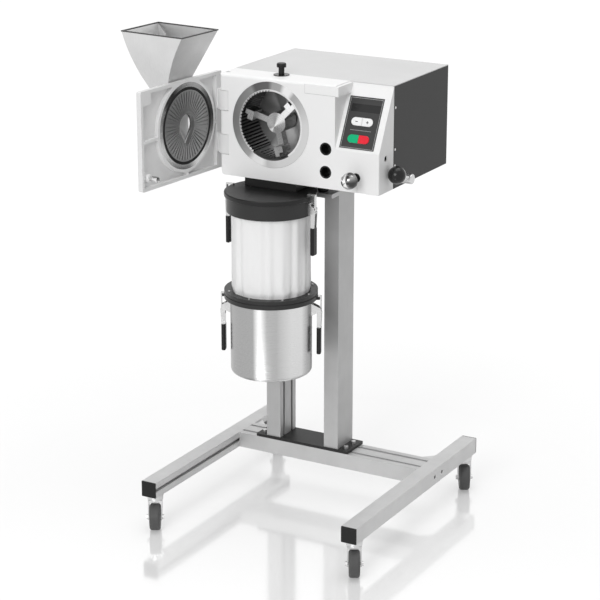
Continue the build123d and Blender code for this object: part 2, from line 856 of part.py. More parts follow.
with BuildPart() as rear_shell:
    block(left, right, 0, shell_depth, base, top - sheet)
    block(left + sheet, right - sheet, 0, shell_depth - sheet, base, top - sheet, Mode.SUBTRACT)
    for height in side_screw_heights:
        for side_x, way in ((left, 1), (right, -1)):
            side_plane = Plane((side_x, sheet_screw_y, base + height), z_dir=(way, 0, 0))
            disc(side_plane, 0, 0, sheet_screw / 2, sheet, Mode.SUBTRACT)
    disc(Plane.YZ.offset(right), lever_y, base + lever_height, lever_bush / 2, -sheet, Mode.SUBTRACT)
    with BuildSketch(upright(shell_depth)):
        with Locations((mill_x, chamber_z)):
            with GridLocations(vent_pitch, vent_pitch, vent_count, 1):
                SlotOverall(vent_length, vent_width, rotation=90)
        with Locations((right - gland_inset, base + gland_height)):
            Circle(gland_diameter / 2)
    extrude(amount=sheet, mode=Mode.SUBTRACT)
save("rear_shell", rear_shell)

with BuildPart() as base_tray:
    block(left + sheet, right - sheet, 0, shell_depth - sheet, base, base + sheet + tray_edge)
    block(
        left + 2 * sheet, right - 2 * sheet, 0, shell_depth - 2 * sheet,
        base + sheet, base + sheet + tray_edge, Mode.SUBTRACT,
    )
    disc(
        Plane.YZ.offset(right), lever_y, base + lever_height,
        lever_bush / 2, -lever_bush_length, Mode.SUBTRACT,
    )
    disc(
        upright(shell_depth), right - gland_inset, base + gland_height,
        gland_diameter / 2, gland_length, Mode.SUBTRACT,
    )
save("base_tray", base_tray)

with BuildPart() as housing_screws:
    for x in top_screws:
        sunk_head(x)
        disc(Plane.XY.offset(top), x, sheet_screw_y, sheet_screw / 2, -(sheet + wall))
    for height in side_screw_heights:
        for side_x, way in ((left, -1), (right, 1)):
            side_plane = Plane((side_x, sheet_screw_y, base + height), z_dir=(way, 0, 0))
            screw(side_plane, 0, 0, sheet + wall, sheet_screw_head, sheet_screw_rise, sheet_screw)
save("housing_screws", housing_screws)

# Lock sockets, bushes and the gland for the power cord
with BuildPart() as housing_bushes:
    for height in socket_heights:
        disc(upright(front), socket_x, base + height, socket_diameter / 2, -socket_depth)
        disc(upright(front), socket_x, base + height, socket_bore / 2, wall - socket_depth, Mode.SUBTRACT)
    tube(
        upright(front + clamp_bush_recess), clamp_x, base + clamp_height,
        clamp_hole / 2, clamp_stem / 2 + shaft_clearance, -clamp_head_depth,
    )
    tube(
        Plane.XY.offset(top), chamber_x, plunger_y,
        plunger_disc / 2, plunger_stem / 2 + shaft_clearance, plunger_disc_height,
    )
    tube(
        Plane.YZ.offset(right), lever_y, base + lever_height,
        lever_bush / 2, lever_shaft / 2 + shaft_clearance, -lever_bush_length,
    )
    tube(
        upright(shell_depth + gland_length / 2), right - gland_inset, base + gland_height,
        gland_diameter / 2, gland_bore / 2, gland_length,
    )
save("housing_bushes", housing_bushes)

with BuildPart() as plunger_knob:
    stem_length = plunger_below + plunger_height
    disc(Plane.XY.offset(top - plunger_below), chamber_x, plunger_y, plunger_stem / 2, stem_length)
    neck_foot = top + plunger_disc_height + running_gap
    head_foot = top + plunger_height - plunger_head_height
    disc(Plane.XY.offset(neck_foot), chamber_x, plunger_y, plunger_neck / 2, head_foot - neck_foot)
    disc(Plane.XY.offset(head_foot), chamber_x, plunger_y, plunger_head / 2, plunger_head_height)
    fillet(plunger_knob.edges().group_by(Axis.Z)[-1], plunger_head_height / 3)
save("plunger_knob", plunger_knob)

with BuildPart() as clamp_knob:
    stem_back = front + clamp_bush_recess + clamp_head_depth
    disc(upright(stem_back), clamp_x, base + clamp_height, clamp_stem / 2, stem_back - front + clamp_reach)
    disc(upright(front - clamp_reach), clamp_x, base + clamp_height, clamp_head / 2, clamp_head_depth)
    head_edges = clamp_knob.edges().filter_by(GeomType.CIRCLE).group_by(SortBy.RADIUS)[-1].sort_by(Axis.Y)
    fillet(head_edges[0], clamp_head / 2 - edge_rounding)
    fillet(head_edges[-1], edge_rounding)
save("clamp_knob", clamp_knob)

# Lock lever on the right side, with its ball
lever_centre = (right + lever_arm_out, lever_y, base + lever_height)
arm_plane = Plane(lever_centre, z_dir=(0, -lever_forward, lever_up))
arm_length = sqrt(lever_forward**2 + lever_up**2)
lever_end = Plane((right + lever_hub_length, lever_y, base + lever_height), z_dir=(-1, 0, 0))
with BuildPart() as lever:
    disc(lever_end, 0, 0, lever_shaft / 2, lever_hub_length + lever_bush_length)
    disc(lever_end, 0, 0, lever_hub / 2, lever_hub_length - lever_hub_gap)
    fillet(lever.edges().filter_by(GeomType.CIRCLE).sort_by(Axis.X)[-1], edge_rounding)
    disc(arm_plane, 0, 0, lever_arm_diameter / 2, arm_length)
with BuildPart() as ball:
    with Locations(arm_plane.offset(arm_length)):
        Sphere(ball_diameter / 2)
    disc(arm_plane, 0, 0, lever_arm_diameter / 2, arm_length, Mode.SUBTRACT)
save("lock_lever", lever, ball)


def chamber_band(outer, inner, start, sweep):
    """Part of the chamber's lining between two angles, as deep as the chamber."""
    with BuildSketch(upright(front)) as outline:
        with BuildLine():
            outside = CenterArc((chamber_x, chamber_z), outer, start, sweep)
            inside = CenterArc((chamber_x, chamber_z), inner, start, sweep)
            Line(outside @ 0, inside @ 0)
            Line(outside @ 1, inside @ 1)
        make_face()
    extrude(outline.sketch, amount=-chamber_depth)


# Grinding chamber on its bulkhead
chamber_back = front + chamber_depth
duct_front = chute_front + chute_wall
duct_rear = chute_rear - chute_wall
outlet_half = chamber_bore * sin(radians(outlet_half_angle))
with BuildPart() as chamber_body:
    tube(upright(front), chamber_x, chamber_z, flange_radius, chamber_bore, -flange_thickness)
    tube(upright(front), chamber_x, chamber_z, chamber_radius, chamber_bore, -chamber_depth)
    block(
        chamber_x - bulkhead_width / 2, chamber_x + bulkhead_width / 2,
        chamber_back, chamber_back + bulkhead_thickness, base + sheet, top - bulkhead_drop,
    )
    disc(
        upright(chamber_back), chamber_x, chamber_z,
        shaft_diameter / 2 + shaft_clearance, -bulkhead_thickness, Mode.SUBTRACT,
    )
    block(
        chamber_x - outlet_half, chamber_x + outlet_half, duct_front, duct_rear,
        chamber_z - flange_radius, chamber_z - liner_radius / 2, Mode.SUBTRACT,
    )
save("chamber_body", chamber_body)

# Toothed jaw on the left and smooth liner on the right, from the top down to the sieve
sieve_start = -90 - sieve_half_angle
jaw_sweep = 180 - sieve_half_angle
jaw_tooth_count = int(jaw_sweep / jaw_tooth_angle)
with BuildPart() as jaw:
    chamber_band(chamber_bore, jaw_tip_radius, 90, jaw_sweep)
    with BuildSketch(upright(front)):
        for tooth in range(jaw_tooth_count):
            start = radians(90 + (tooth + 0.2) * jaw_tooth_angle)
            deep = radians(90 + (tooth + 0.35) * jaw_tooth_angle)
            end = radians(90 + (tooth + 1) * jaw_tooth_angle)
            inside = jaw_tip_radius - edge_rounding
            root = chamber_bore - wall / 4
            with BuildLine():
                Polyline(
                    (chamber_x + inside * cos(start), chamber_z + inside * sin(start)),
                    (chamber_x + root * cos(deep), chamber_z + root * sin(deep)),
                    (chamber_x + inside * cos(end), chamber_z + inside * sin(end)),
                    close=True,
                )
            make_face()
    extrude(amount=-chamber_depth, mode=Mode.SUBTRACT)
with BuildPart() as liner:
    chamber_band(chamber_bore, liner_radius, 90, -jaw_sweep)
save("chamber_liners", jaw, liner)

duct_mid = (duct_front + duct_rear) / 2
with BuildPart() as bottom_sieve:
    chamber_band(chamber_bore, chamber_bore - sieve_thickness, sieve_start, 2 * sieve_half_angle)
    slot_pitch = 1.8 * outlet_half_angle / (sieve_columns - 1)
    for column in range(sieve_columns):
        turn = radians(-90 + (column - (sieve_columns - 1) / 2) * slot_pitch)
        slot_plane = Plane(
            (chamber_x + chamber_bore * cos(turn), duct_mid, chamber_z + chamber_bore * sin(turn)),
            x_dir=(0, 1, 0),
            z_dir=(cos(turn), 0, sin(turn)),
        )
        with BuildSketch(slot_plane):
            with GridLocations((duct_rear - duct_front) / sieve_rows, 1, sieve_rows, 1):
                Rectangle(sieve_slot_length, sieve_slot_width)
        extrude(amount=2 * sieve_thickness, both=True, mode=Mode.SUBTRACT)
save("bottom_sieve", bottom_sieve)

# Chute that leads out of the chamber to the collector
lid_top = base - lid_drop
lid_foot = lid_top - lid_thickness
with BuildPart() as outlet_chute:
    block(chute_x0, chute_x1, chute_front, chute_rear, lid_top, chamber_z - chamber_radius / 2)
    disc(upright(chute_front - wall), chamber_x, chamber_z, chamber_radius, -cover_depth, Mode.SUBTRACT)
    block(
        chamber_x - chute_duct / 2, chamber_x + chute_duct / 2, duct_front, duct_rear,
        lid_top, chamber_z, Mode.SUBTRACT,
    )
save("outlet_chute", outlet_chute)

# Rotor with three arms, each with two stacked beater tips
nose_y = front + nose_depth
rotor_back = chamber_back - rotor_back_gap
tip_turns = (rotor_turn, rotor_turn + 120, rotor_turn + 240)
with BuildPart() as rotor_hub:
    disc(upright(nose_y), chamber_x, chamber_z, nose_radius, nose_y - rotor_back)
    for turn in tip_turns:
        along_arm = (cos(radians(turn)), 0, sin(radians(turn)))
        with BuildSketch(Plane((chamber_x, nose_y, chamber_z), x_dir=along_arm, z_dir=(0, -1, 0))):
            Rectangle(tip_inner_radius + tip_step, arm_width, align=(Align.MIN, Align.CENTER))
        extrude(amount=-arm_thickness)
    shaft_front = nose_y + wall
    shaft_plane = upright(shaft_front)
    disc(shaft_plane, chamber_x, chamber_z, shaft_diameter / 2, shaft_front - rotor_back, Mode.SUBTRACT)
rotor_pieces = [rotor_hub]
for turn in tip_turns:
    tip_plane = Plane(
        (chamber_x, front + tip_depth, chamber_z),
        x_dir=(cos(radians(turn)), 0, sin(radians(turn))),
        z_dir=(0, -1, 0),
    )
    for offset_y, inset in ((-tip_offset, 0), (tip_offset, tip_step)):
        with BuildPart() as tip:
            with BuildSketch(tip_plane):
                with Locations(((tip_inner_radius + rotor_radius - inset) / 2, offset_y)):
                    Rectangle(rotor_radius - tip_inner_radius - inset, tip_width)
            extrude(amount=-tip_length)
            with BuildSketch(tip_plane.offset(tip_depth - nose_depth)):
                Rectangle(tip_inner_radius + tip_step, arm_width, align=(Align.MIN, Align.CENTER))
            extrude(amount=-arm_thickness, mode=Mode.SUBTRACT)
        rotor_pieces.append(tip)
save("rotor", *rotor_pieces)

# Drive: shaft with motor core and fan, and the motor around them
motor_back = motor_front + motor_length
core_inset = motor_length / 6
with BuildPart() as shaft:
    disc(upright(shaft_front), chamber_x, chamber_z, shaft_diameter / 2, shaft_front - shaft_end)
with BuildPart() as motor_core:
    tube(
        upright(motor_front + core_inset), chamber_x, chamber_z,
        core_radius, shaft_diameter / 2, 2 * core_inset - motor_length,
    )
with BuildPart() as fan:
    tube(upright(shaft_end), chamber_x, chamber_z, fan_radius, shaft_diameter / 2, fan_thickness)
save("drive_shaft", shaft, motor_core, fan)

stator_radius = motor_radius - motor_shell
with BuildPart() as motor_housing:
    tube(upright(motor_front), chamber_x, chamber_z, motor_radius, stator_radius, -motor_length)
    for plate_y in (motor_front, motor_back - motor_plate):
        tube(
            upright(plate_y), chamber_x, chamber_z,
            motor_radius, shaft_diameter / 2 + shaft_clearance, -motor_plate,
        )
    for foot_y in (motor_front, motor_back - motor_foot_depth):
        block(
            chamber_x - motor_foot_width / 2, chamber_x + motor_foot_width / 2,
            foot_y, foot_y + motor_foot_depth, base + sheet, chamber_z - motor_radius / 2,
        )
    disc(
        upright(motor_front + motor_plate), chamber_x, chamber_z,
        stator_radius, 2 * motor_plate - motor_length, Mode.SUBTRACT,
    )
with BuildPart() as stator:
    tube(
        upright(motor_front + core_inset), chamber_x, chamber_z,
        stator_radius, core_radius + air_gap, 2 * core_inset - motor_length,
    )
save("motor_body", motor_housing, stator)

# Door, drawn in its own frame and hung open; across counts from the hinge axis
door_u0 = door_side_margin - hinge_side
door_u1 = face_right - door_free_margin - hinge_x
door_z0 = base + door_foot_margin
door_z1 = top - door_top_margin
chamber_u = chamber_x - hinge_x
door_face = front - door_gap
door_back = door_face - door_thickness
bolt_u = socket_x - hinge_x
bolt_z = base + socket_heights[0]
pocket_depth = door_thickness - door_floor
seat_radius = door_ring_radius - door_ring_width
disc_radius = seat_radius - gasket_width
rib_z = chamber_z - pocket_depth
outward = Axis((0, 0, 0), tuple(-open_frame.y_dir))


def feed_hole(plane, depth):
    """Cut the drop-shaped feed hole through what lies outward of the plane."""
    with BuildSketch(plane) as outline:
        with Locations((chamber_u, chamber_z)):
            Circle(feed_radius)
        with Locations((chamber_u, chamber_z - feed_drop + door_rib)):
            Circle(door_rib)
        make_hull()
    extrude(outline.sketch, amount=depth, mode=Mode.SUBTRACT)


with BuildPart() as door_leaf:
    with BuildSketch(hung(door_face)):
        with Locations(((door_u0 + door_u1) / 2, (door_z0 + door_z1) / 2)):
            RectangleRounded(door_u1 - door_u0, door_z1 - door_z0, door_rounding)
    extrude(amount=door_thickness)
    fillet(door_leaf.faces().sort_by(outward)[-1].edges(), door_rounding)
    # Pockets on the inner side, with ribs between them and round the ring
    pocket_columns = (
        (door_u0 + hinge_rim, chamber_u - door_rib / 2),
        (chamber_u + door_rib / 2, door_u1 - door_rim),
    )
    pocket_rows = (
        (door_z0 + door_rim, rib_z - door_rib / 2),
        (rib_z + door_rib / 2, door_z1 - door_rim),
    )
    for u0, u1 in pocket_columns:
        for z0, z1 in pocket_rows:
            with BuildSketch(hung(door_face)):
                with Locations(((u0 + u1) / 2, (z0 + z1) / 2)):
                    Rectangle(u1 - u0, z1 - z0)
                with Locations((chamber_u, chamber_z)):
                    Circle(door_ring_radius + door_rib, mode=Mode.SUBTRACT)
                if u0 > chamber_u and z0 > rib_z:
                    with Locations((u1, z1)):
                        Rectangle(step_width, step_height, align=(Align.MAX, Align.MAX), mode=Mode.SUBTRACT)
                offset(amount=-edge_rounding, mode=Mode.REPLACE)
                offset(amount=edge_rounding, mode=Mode.REPLACE)
            extrude(amount=pocket_depth, mode=Mode.SUBTRACT)
    disc(hung(door_face), chamber_u, chamber_z, door_ring_radius, door_ring_depth, Mode.SUBTRACT)
    disc(hung(door_face), chamber_u, chamber_z, seat_radius, disc_depth, Mode.SUBTRACT)
    feed_hole(hung(door_face), door_thickness)
    disc(hung(door_face + bolt_boss_rise), bolt_u, bolt_z, bolt_boss / 2, bolt_boss_rise + pocket_depth)
save("door_leaf", door_leaf)

ring_mid = door_ring_radius - door_ring_width / 2
with BuildPart() as door_ring:
    tube(hung(door_face), chamber_u, chamber_z, door_ring_radius, seat_radius, door_ring_depth)
    with BuildSketch(hung(door_face)):
        with Locations((chamber_u, chamber_z)):
            with PolarLocations(ring_mid, ring_screws):
                Circle(ring_screw_head / 2)
    extrude(amount=door_ring_depth / 2, mode=Mode.SUBTRACT)
with BuildPart() as door_ring_screws:
    with BuildSketch(hung(door_face)):
        with Locations((chamber_u, chamber_z)):
            with PolarLocations(ring_mid, ring_screws):
                Circle(ring_screw_head / 2)
                Rectangle(ring_screw_head, ring_screw_head / 6, mode=Mode.SUBTRACT)
    extrude(amount=door_ring_depth / 4)
    with BuildSketch(hung(door_face - door_ring_depth / 4)):
        with Locations((chamber_u, chamber_z)):
            with PolarLocations(ring_mid, ring_screws):
                Circle(ring_screw_head / 2)
    extrude(amount=door_ring_depth / 4)
save("door_ring", door_ring, door_ring_screws)

with BuildPart() as door_gasket:
    gasket_depth = disc_depth + gasket_rise
    tube(hung(door_face + gasket_rise), chamber_u, chamber_z, seat_radius, disc_radius, gasket_depth)
save("door_gasket", door_gasket)

with BuildPart() as grinding_disc:
    disc(hung(door_face), chamber_u, chamber_z, disc_radius, disc_depth)
    feed_hole(hung(door_face), disc_depth)
    groove_start = feed_radius + disc_rim
    groove_end = disc_radius - disc_rim
    groove_taper = groove_start / groove_end
    with BuildSketch(hung(door_face)):
        with Locations((chamber_u, chamber_z)):
            with PolarLocations(0, disc_teeth):
                Polygon(
                    (groove_start, -disc_groove * groove_taper / 2),
                    (groove_end, -disc_groove / 2),
                    (groove_end, disc_groove / 2),
                    (groove_start, disc_groove * groove_taper / 2),
                    align=None,
                )
    extrude(amount=disc_groove_depth, mode=Mode.SUBTRACT)
save("grinding_disc", grinding_disc)

with BuildPart() as door_bolt:
    disc(hung(door_face + bolt_boss_rise), bolt_u, bolt_z, bolt_diameter / 2, -bolt_length)
    with BuildSketch(hung(door_face + bolt_boss_rise + bolt_slot)):
        with Locations((bolt_u, bolt_z)):
            Rectangle(bolt_slot, bolt_diameter)
    extrude(amount=-bolt_length, mode=Mode.SUBTRACT)
save("door_bolt", door_bolt)

# Hinge arms on the door, turning with their pin in the corner post of the cover
knuckle_radius = hinge_depth - knuckle_clearance
with BuildPart() as arms:
    for low, high in arm_spans:
        with BuildSketch(open_frame.offset(low)):
            Circle(knuckle_radius)
            with Locations((door_u0, door_face - hinge_y)):
                Rectangle(arm_reach - door_u0, hinge_depth + door_gap, align=(Align.MIN, Align.MIN))
            with Locations((door_u0, 0)):
                Rectangle(
                    2 * hinge_depth, 3 * hinge_depth,
                    align=(Align.MIN, Align.CENTER), mode=Mode.INTERSECT,
                )
            Circle(hinge_pin / 2, mode=Mode.SUBTRACT)
        extrude(amount=high - low)
with BuildPart() as pin:
    disc(open_frame.offset(pin_bottom), 0, 0, hinge_pin / 2, pin_top - pin_bottom)
save("hinge_arms", arms, pin)

# Feed neck and hopper on the outside of the door
neck_inner = hopper_throat_half - hopper_wall
neck_top = base + hopper_throat
door_out = door_gap + door_thickness
slope_top = chamber_z - feed_drop + hopper_waist_half
neck_plane = Plane(
    origin=open_frame.from_local_coords((chamber_u, door_back - hinge_y, 0)),
    x_dir=-open_frame.y_dir,
    z_dir=-open_frame.x_dir,
)
throat_near = hopper_throat_in - door_out
throat_far = hopper_throat_out - door_out
with BuildPart() as feed_neck:
    with BuildSketch(neck_plane):
        with BuildLine():
            Polyline(
                (0, chamber_z - feed_drop - neck_wall),
                (throat_far, slope_top - neck_wall),
                (throat_far, neck_top),
                (throat_near, neck_top),
                (0, chamber_z + feed_radius + neck_wall),
                close=True,
            )
        make_face()
    extrude(amount=neck_inner + neck_wall, both=True)
    with BuildSketch(neck_plane):
        with BuildLine():
            Polyline(
                (0, chamber_z - feed_drop),
                (throat_far - neck_wall, slope_top),
                (throat_far - neck_wall, neck_top),
                (throat_near + neck_wall, neck_top),
                (0, chamber_z + feed_radius - neck_wall),
                close=True,
            )
        make_face()
    extrude(amount=neck_inner, both=True, mode=Mode.SUBTRACT)
save("feed_neck", feed_neck)

hopper_levels = (
    (hopper_throat, hopper_throat_half, hopper_throat_in, hopper_throat_out),
    (hopper_waist, hopper_waist_half, hopper_waist_in, hopper_waist_out),
    (hopper_top, hopper_rim_half, hopper_rim_in, hopper_rim_out),
)


def hopper_section(level, thinner):
    """Draw one level of the funnel, drawn in by a wall."""
    height, half, near, far = level
    with Locations((chamber_u, -hinge_depth - (near + far) / 2)):
        Rectangle(2 * (half - thinner), far - near - 2 * thinner)


with BuildPart() as funnel:
    for level in hopper_levels:
        with BuildSketch(open_frame.offset(base + level[0])):
            hopper_section(level, 0)
    loft()
    for level in hopper_levels:
        with BuildSketch(open_frame.offset(base + level[0])):
            hopper_section(level, hopper_wall)
    loft(mode=Mode.SUBTRACT)
with BuildPart() as rim_strip:
    with BuildSketch(open_frame.offset(base + hopper_top)):
        hopper_section(hopper_levels[-1], -hopper_rim_overlap)
        with Locations((chamber_u, -hinge_depth - (hopper_rim_in + hopper_rim_out) / 2)):
            Rectangle(
                2 * (hopper_rim_half - hopper_wall), hopper_rim_out - hopper_rim_in - 2 * hopper_wall,
                mode=Mode.SUBTRACT,
            )
    extrude(amount=hopper_rim_strip)
# Divider across the funnel, from the far corner on the hinge side to the free side
far_corner = (chamber_u - hopper_rim_half, -hinge_depth - hopper_rim_out)
with BuildPart() as divider:
    with BuildSketch(open_frame.offset(base + hopper_top)):
        with Locations(far_corner):
            Rectangle(4 * hopper_rim_half, partition_thickness, rotation=45)
    extrude(amount=-partition_drop)
    for level in hopper_levels:
        with BuildSketch(open_frame.offset(base + level[0])):
            hopper_section(level, hopper_wall)
    loft(mode=Mode.INTERSECT)
save("hopper", funnel, rim_strip, divider)

# Collector lid under the chute
bag_ring_foot = lid_foot - bag_ring_height
with BuildPart() as collector_lid:
    disc(Plane.XY.offset(lid_foot), chamber_x, collector_y, lid_radius, lid_thickness)
    fillet(collector_lid.edges().filter_by(GeomType.CIRCLE), edge_rounding)
    block(
        chamber_x - chute_duct / 2, chamber_x + chute_duct / 2, duct_front, duct_rear,
        lid_foot, lid_top, Mode.SUBTRACT,
    )
save("collector_lid", collector_lid)

with BuildPart() as bag_ring:
    tube(
        Plane.XY.offset(bag_ring_foot), chamber_x, collector_y,
        bag_ring_radius, bag_ring_bore, bag_ring_height,
    )
save("bag_ring", bag_ring)

# Clamp ring that holds the foot of the bag on the container, with a keeper for each lower latch
clamp_top = bag_ring_foot - bag_length
clamp_foot = clamp_top - clamp_ring_height
clamp_step = clamp_foot + container_engage
lower_seat = clamp_top - lower_seat_drop
groove_foot = clamp_top - clamp_lip - clamp_groove
with BuildPart() as clamp_ring:
    tube(
        Plane.XY.offset(clamp_foot), chamber_x, collector_y,
        clamp_ring_radius, clamp_ring_bore, clamp_ring_height,
    )
    with BuildSketch(Plane.XY.offset(groove_foot)):
        with Locations((chamber_x, collector_y)):
            Circle(clamp_ring_radius + clamp_groove)
            Circle(clamp_ring_radius - clamp_groove_depth, mode=Mode.SUBTRACT)
    extrude(amount=clamp_groove, mode=Mode.SUBTRACT)
    for angle in lower_latch_angles:
        keeper_plane = Plane(
            (chamber_x, collector_y, lower_seat),
            x_dir=(cos(radians(angle)), sin(radians(angle)), 0),
            z_dir=(0, 0, 1),
        )
        with BuildSketch(keeper_plane):
            with Locations((clamp_ring_radius - clamp_lip, 0)):
                Rectangle(clamp_lip + keeper_reach, keeper_width, align=(Align.MIN, Align.CENTER))
        extrude(amount=-keeper_height)
    disc(
        Plane.XY.offset(clamp_foot - keeper_height), chamber_x, collector_y,
        container_radius + container_rim_gap, keeper_height + container_engage, Mode.SUBTRACT,
    )
    clamp_mid = (clamp_ring_radius + clamp_ring_bore) / 2
    with BuildSketch(Plane.XY.offset(clamp_top)):
        with Locations((chamber_x, collector_y)):
            with PolarLocations(clamp_mid, clamp_screws):
                Circle(sheet_screw / 2)
    extrude(amount=-clamp_lip, mode=Mode.SUBTRACT)
with BuildPart() as clamp_ring_screws:
    for height, size in ((ring_screw_rise, ring_screw_head), (-clamp_lip, sheet_screw)):
        with BuildSketch(Plane.XY.offset(clamp_top)):
            with Locations((chamber_x, collector_y)):
                with PolarLocations(clamp_mid, clamp_screws):
                    Circle(size / 2)
        extrude(amount=height)
save("clamp_ring", clamp_ring, clamp_ring_screws)


def fold_outline(radius, fold):
    """Draw a round cloth section whose edge swings out and in by the fold."""
    with BuildSketch(Plane.XY, mode=Mode.PRIVATE) as outline:
        with BuildLine():
            half_turn = 180 / bag_folds
            for step in range(2 * bag_folds):
                swing = fold if step % 2 == 0 else -fold
                points = [
                    (reach * cos(radians(turn)), reach * sin(radians(turn)))
                    for reach, turn in (
                        (radius, step * half_turn),
                        (radius + swing, (step + 0.5) * half_turn),
                        (radius, (step + 1) * half_turn),
                    )
                ]
                ThreePointArc(*points)
        make_face()
    return outline.sketch


# Filter bag: cloth with upright folds, tucked into the ring above and the ring below
bag_levels = (
    (clamp_top - bag_tuck / 2, clamp_ring_bore - bag_slack - bag_fold_foot, bag_fold_foot),
    (clamp_top + bag_length / 2, bag_radius_belly, bag_fold_belly),
    (bag_ring_foot + bag_tuck, bag_ring_bore - bag_slack - bag_fold_top, bag_fold_top),
)
with BuildPart() as filter_bag:
    for thinner, mode in ((0, Mode.ADD), (bag_wall, Mode.SUBTRACT)):
        for level, radius, fold in bag_levels:
            with BuildSketch(Plane((chamber_x, collector_y, level))):
                add(fold_outline(radius - thinner, fold))
        loft(mode=mode)
save("filter_bag", filter_bag)

container_foot = clamp_step - container_height
with BuildPart() as container:
    disc(Plane.XY.offset(container_foot), chamber_x, collector_y, container_radius, container_height)
    fillet(container.edges().group_by(Axis.Z)[0], container_rounding)
    offset(amount=-container_wall, openings=container.faces().sort_by(Axis.Z)[-1])
save("container", container)

# Toggle latches: a bracket with its pin, a lever with its grip and a hook
latches = [("upper_right", upper_latch_angles[0], lid_top, bag_ring_radius, upper_claw_reach)]
latches += [("upper_left", upper_latch_angles[1], lid_top, bag_ring_radius, upper_claw_reach)]
latches += [("lower_right", lower_latch_angles[0], lower_seat, container_radius, lower_claw_reach)]
latches += [("lower_left", lower_latch_angles[1], lower_seat, container_radius, lower_claw_reach)]
ear_outer = ear_inner + ear_thickness
strap_outer = strap_inner + strap_thickness
hook_pin_radius = latch_radius + hook_pin_out
hook_pin_level = -latch_drop - hook_pin_down
hook_inner = hook_pin_radius - hook_seat
latch_brackets = []
for name, angle, seat, carrier, claw_reach in latches:
    side_x = cos(radians(angle))
    side_y = sin(radians(angle))
    latch_plane = Plane(
        (chamber_x, collector_y, seat), x_dir=(side_x, side_y, 0), z_dir=(side_y, -side_x, 0)
    )
    with BuildPart() as latch_bracket:
        with BuildSketch(latch_plane):
            with Locations((carrier - clamp_lip, -latch_drop)):
                Rectangle(clamp_lip + bracket_plate, 2 * ear_foot, align=(Align.MIN, Align.CENTER))
        extrude(amount=ear_outer, both=True)
        for way in (1, -1):
            with BuildSketch(latch_plane.offset(way * ear_inner)):
                with Locations((carrier, -latch_drop)):
                    Rectangle(bracket_plate, 2 * ear_foot, align=(Align.MIN, Align.CENTER))
                with Locations((latch_radius, -latch_drop)):
                    Circle(ear_radius)
                make_hull()
            extrude(amount=way * ear_thickness)
        disc(
            Plane.XY.offset(seat - latch_drop - ear_foot), chamber_x, collector_y,
            carrier, 2 * ear_foot, Mode.SUBTRACT,
        )
        disc(latch_plane.offset(-ear_outer), latch_radius, -latch_drop, latch_pin / 2, 2 * ear_outer)
    latch_brackets.append(latch_bracket)

    with BuildPart() as latch_straps:
        for way in (1, -1):
            with BuildSketch(latch_plane.offset(way * strap_inner)):
                with Locations((latch_radius, -latch_drop)):
                    Circle(strap_width / 2)
                with Locations((hook_pin_radius, hook_pin_level)):
                    Circle(hook_eye)
                with Locations((latch_radius, -strap_foot)):
                    Rectangle(strap_width, strap_width, align=(Align.CENTER, Align.MIN))
                make_hull()
            extrude(amount=way * strap_thickness)
        with BuildSketch(latch_plane):
            with Locations((latch_radius - strap_width / 2, -strap_foot)):
                Rectangle(strap_thickness, strap_foot - latch_web_top, align=(Align.MIN, Align.MIN))
        extrude(amount=strap_inner, both=True)
        strap_side = latch_plane.offset(-strap_outer)
        pivot_bore = latch_pin / 2 + shaft_clearance
        disc(strap_side, hook_pin_radius, hook_pin_level, hook_pin / 2, 2 * strap_outer)
        disc(strap_side, latch_radius, -latch_drop, pivot_bore, 2 * strap_outer, Mode.SUBTRACT)
    with BuildPart() as grip:
        with BuildSketch(latch_plane.offset(-grip_width / 2)):
            with Locations((latch_radius, -strap_foot)):
                Rectangle(grip_thickness, grip_foot - strap_foot, align=(Align.CENTER, Align.MAX))
        extrude(amount=grip_width)
        fillet(grip.edges().filter_by(Axis.Z) + grip.edges().group_by(Axis.Z)[0], grip_rounding)
    save(f"latch_lever_{name}", latch_straps, grip)

    with BuildPart() as hook:
        with BuildSketch(latch_plane.offset(-hook_half_width)):
            with Locations((hook_pin_radius, hook_pin_level)):
                Circle(hook_eye)
            with Locations((hook_inner, hook_pin_level)):
                hook_length = hook_seat + hook_claw - hook_pin_level
                Rectangle(hook_thickness, hook_length, align=(Align.MIN, Align.MIN))
            with Locations((hook_inner + hook_thickness, hook_seat)):
                Rectangle(hook_thickness + claw_reach, hook_claw, align=(Align.MAX, Align.MIN))
            with Locations((hook_pin_radius, hook_pin_level)):
                Circle(hook_pin / 2 + shaft_clearance, mode=Mode.SUBTRACT)
        extrude(amount=2 * hook_half_width)
    save(f"latch_hook_{name}", hook)
save("latch_brackets", *latch_brackets)
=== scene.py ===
import math

import bpy
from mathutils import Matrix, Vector


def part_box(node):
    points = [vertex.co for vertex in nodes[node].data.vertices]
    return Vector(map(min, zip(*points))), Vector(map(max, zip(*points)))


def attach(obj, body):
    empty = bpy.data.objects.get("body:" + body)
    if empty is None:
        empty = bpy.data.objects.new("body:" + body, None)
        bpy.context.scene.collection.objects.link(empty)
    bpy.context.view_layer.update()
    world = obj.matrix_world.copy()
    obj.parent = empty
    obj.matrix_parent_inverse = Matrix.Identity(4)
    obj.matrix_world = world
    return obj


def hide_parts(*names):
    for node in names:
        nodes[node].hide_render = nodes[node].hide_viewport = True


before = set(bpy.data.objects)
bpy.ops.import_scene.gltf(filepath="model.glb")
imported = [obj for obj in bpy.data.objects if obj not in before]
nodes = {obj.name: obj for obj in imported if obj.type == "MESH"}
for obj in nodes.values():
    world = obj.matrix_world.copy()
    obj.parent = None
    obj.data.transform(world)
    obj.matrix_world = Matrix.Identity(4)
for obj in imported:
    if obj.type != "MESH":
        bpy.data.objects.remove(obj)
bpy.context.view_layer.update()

MM = 0.001
CORNERS = ("front_left", "rear_left", "front_right", "rear_right")
LATCHES = ("upper_right", "upper_left", "lower_right", "lower_left")

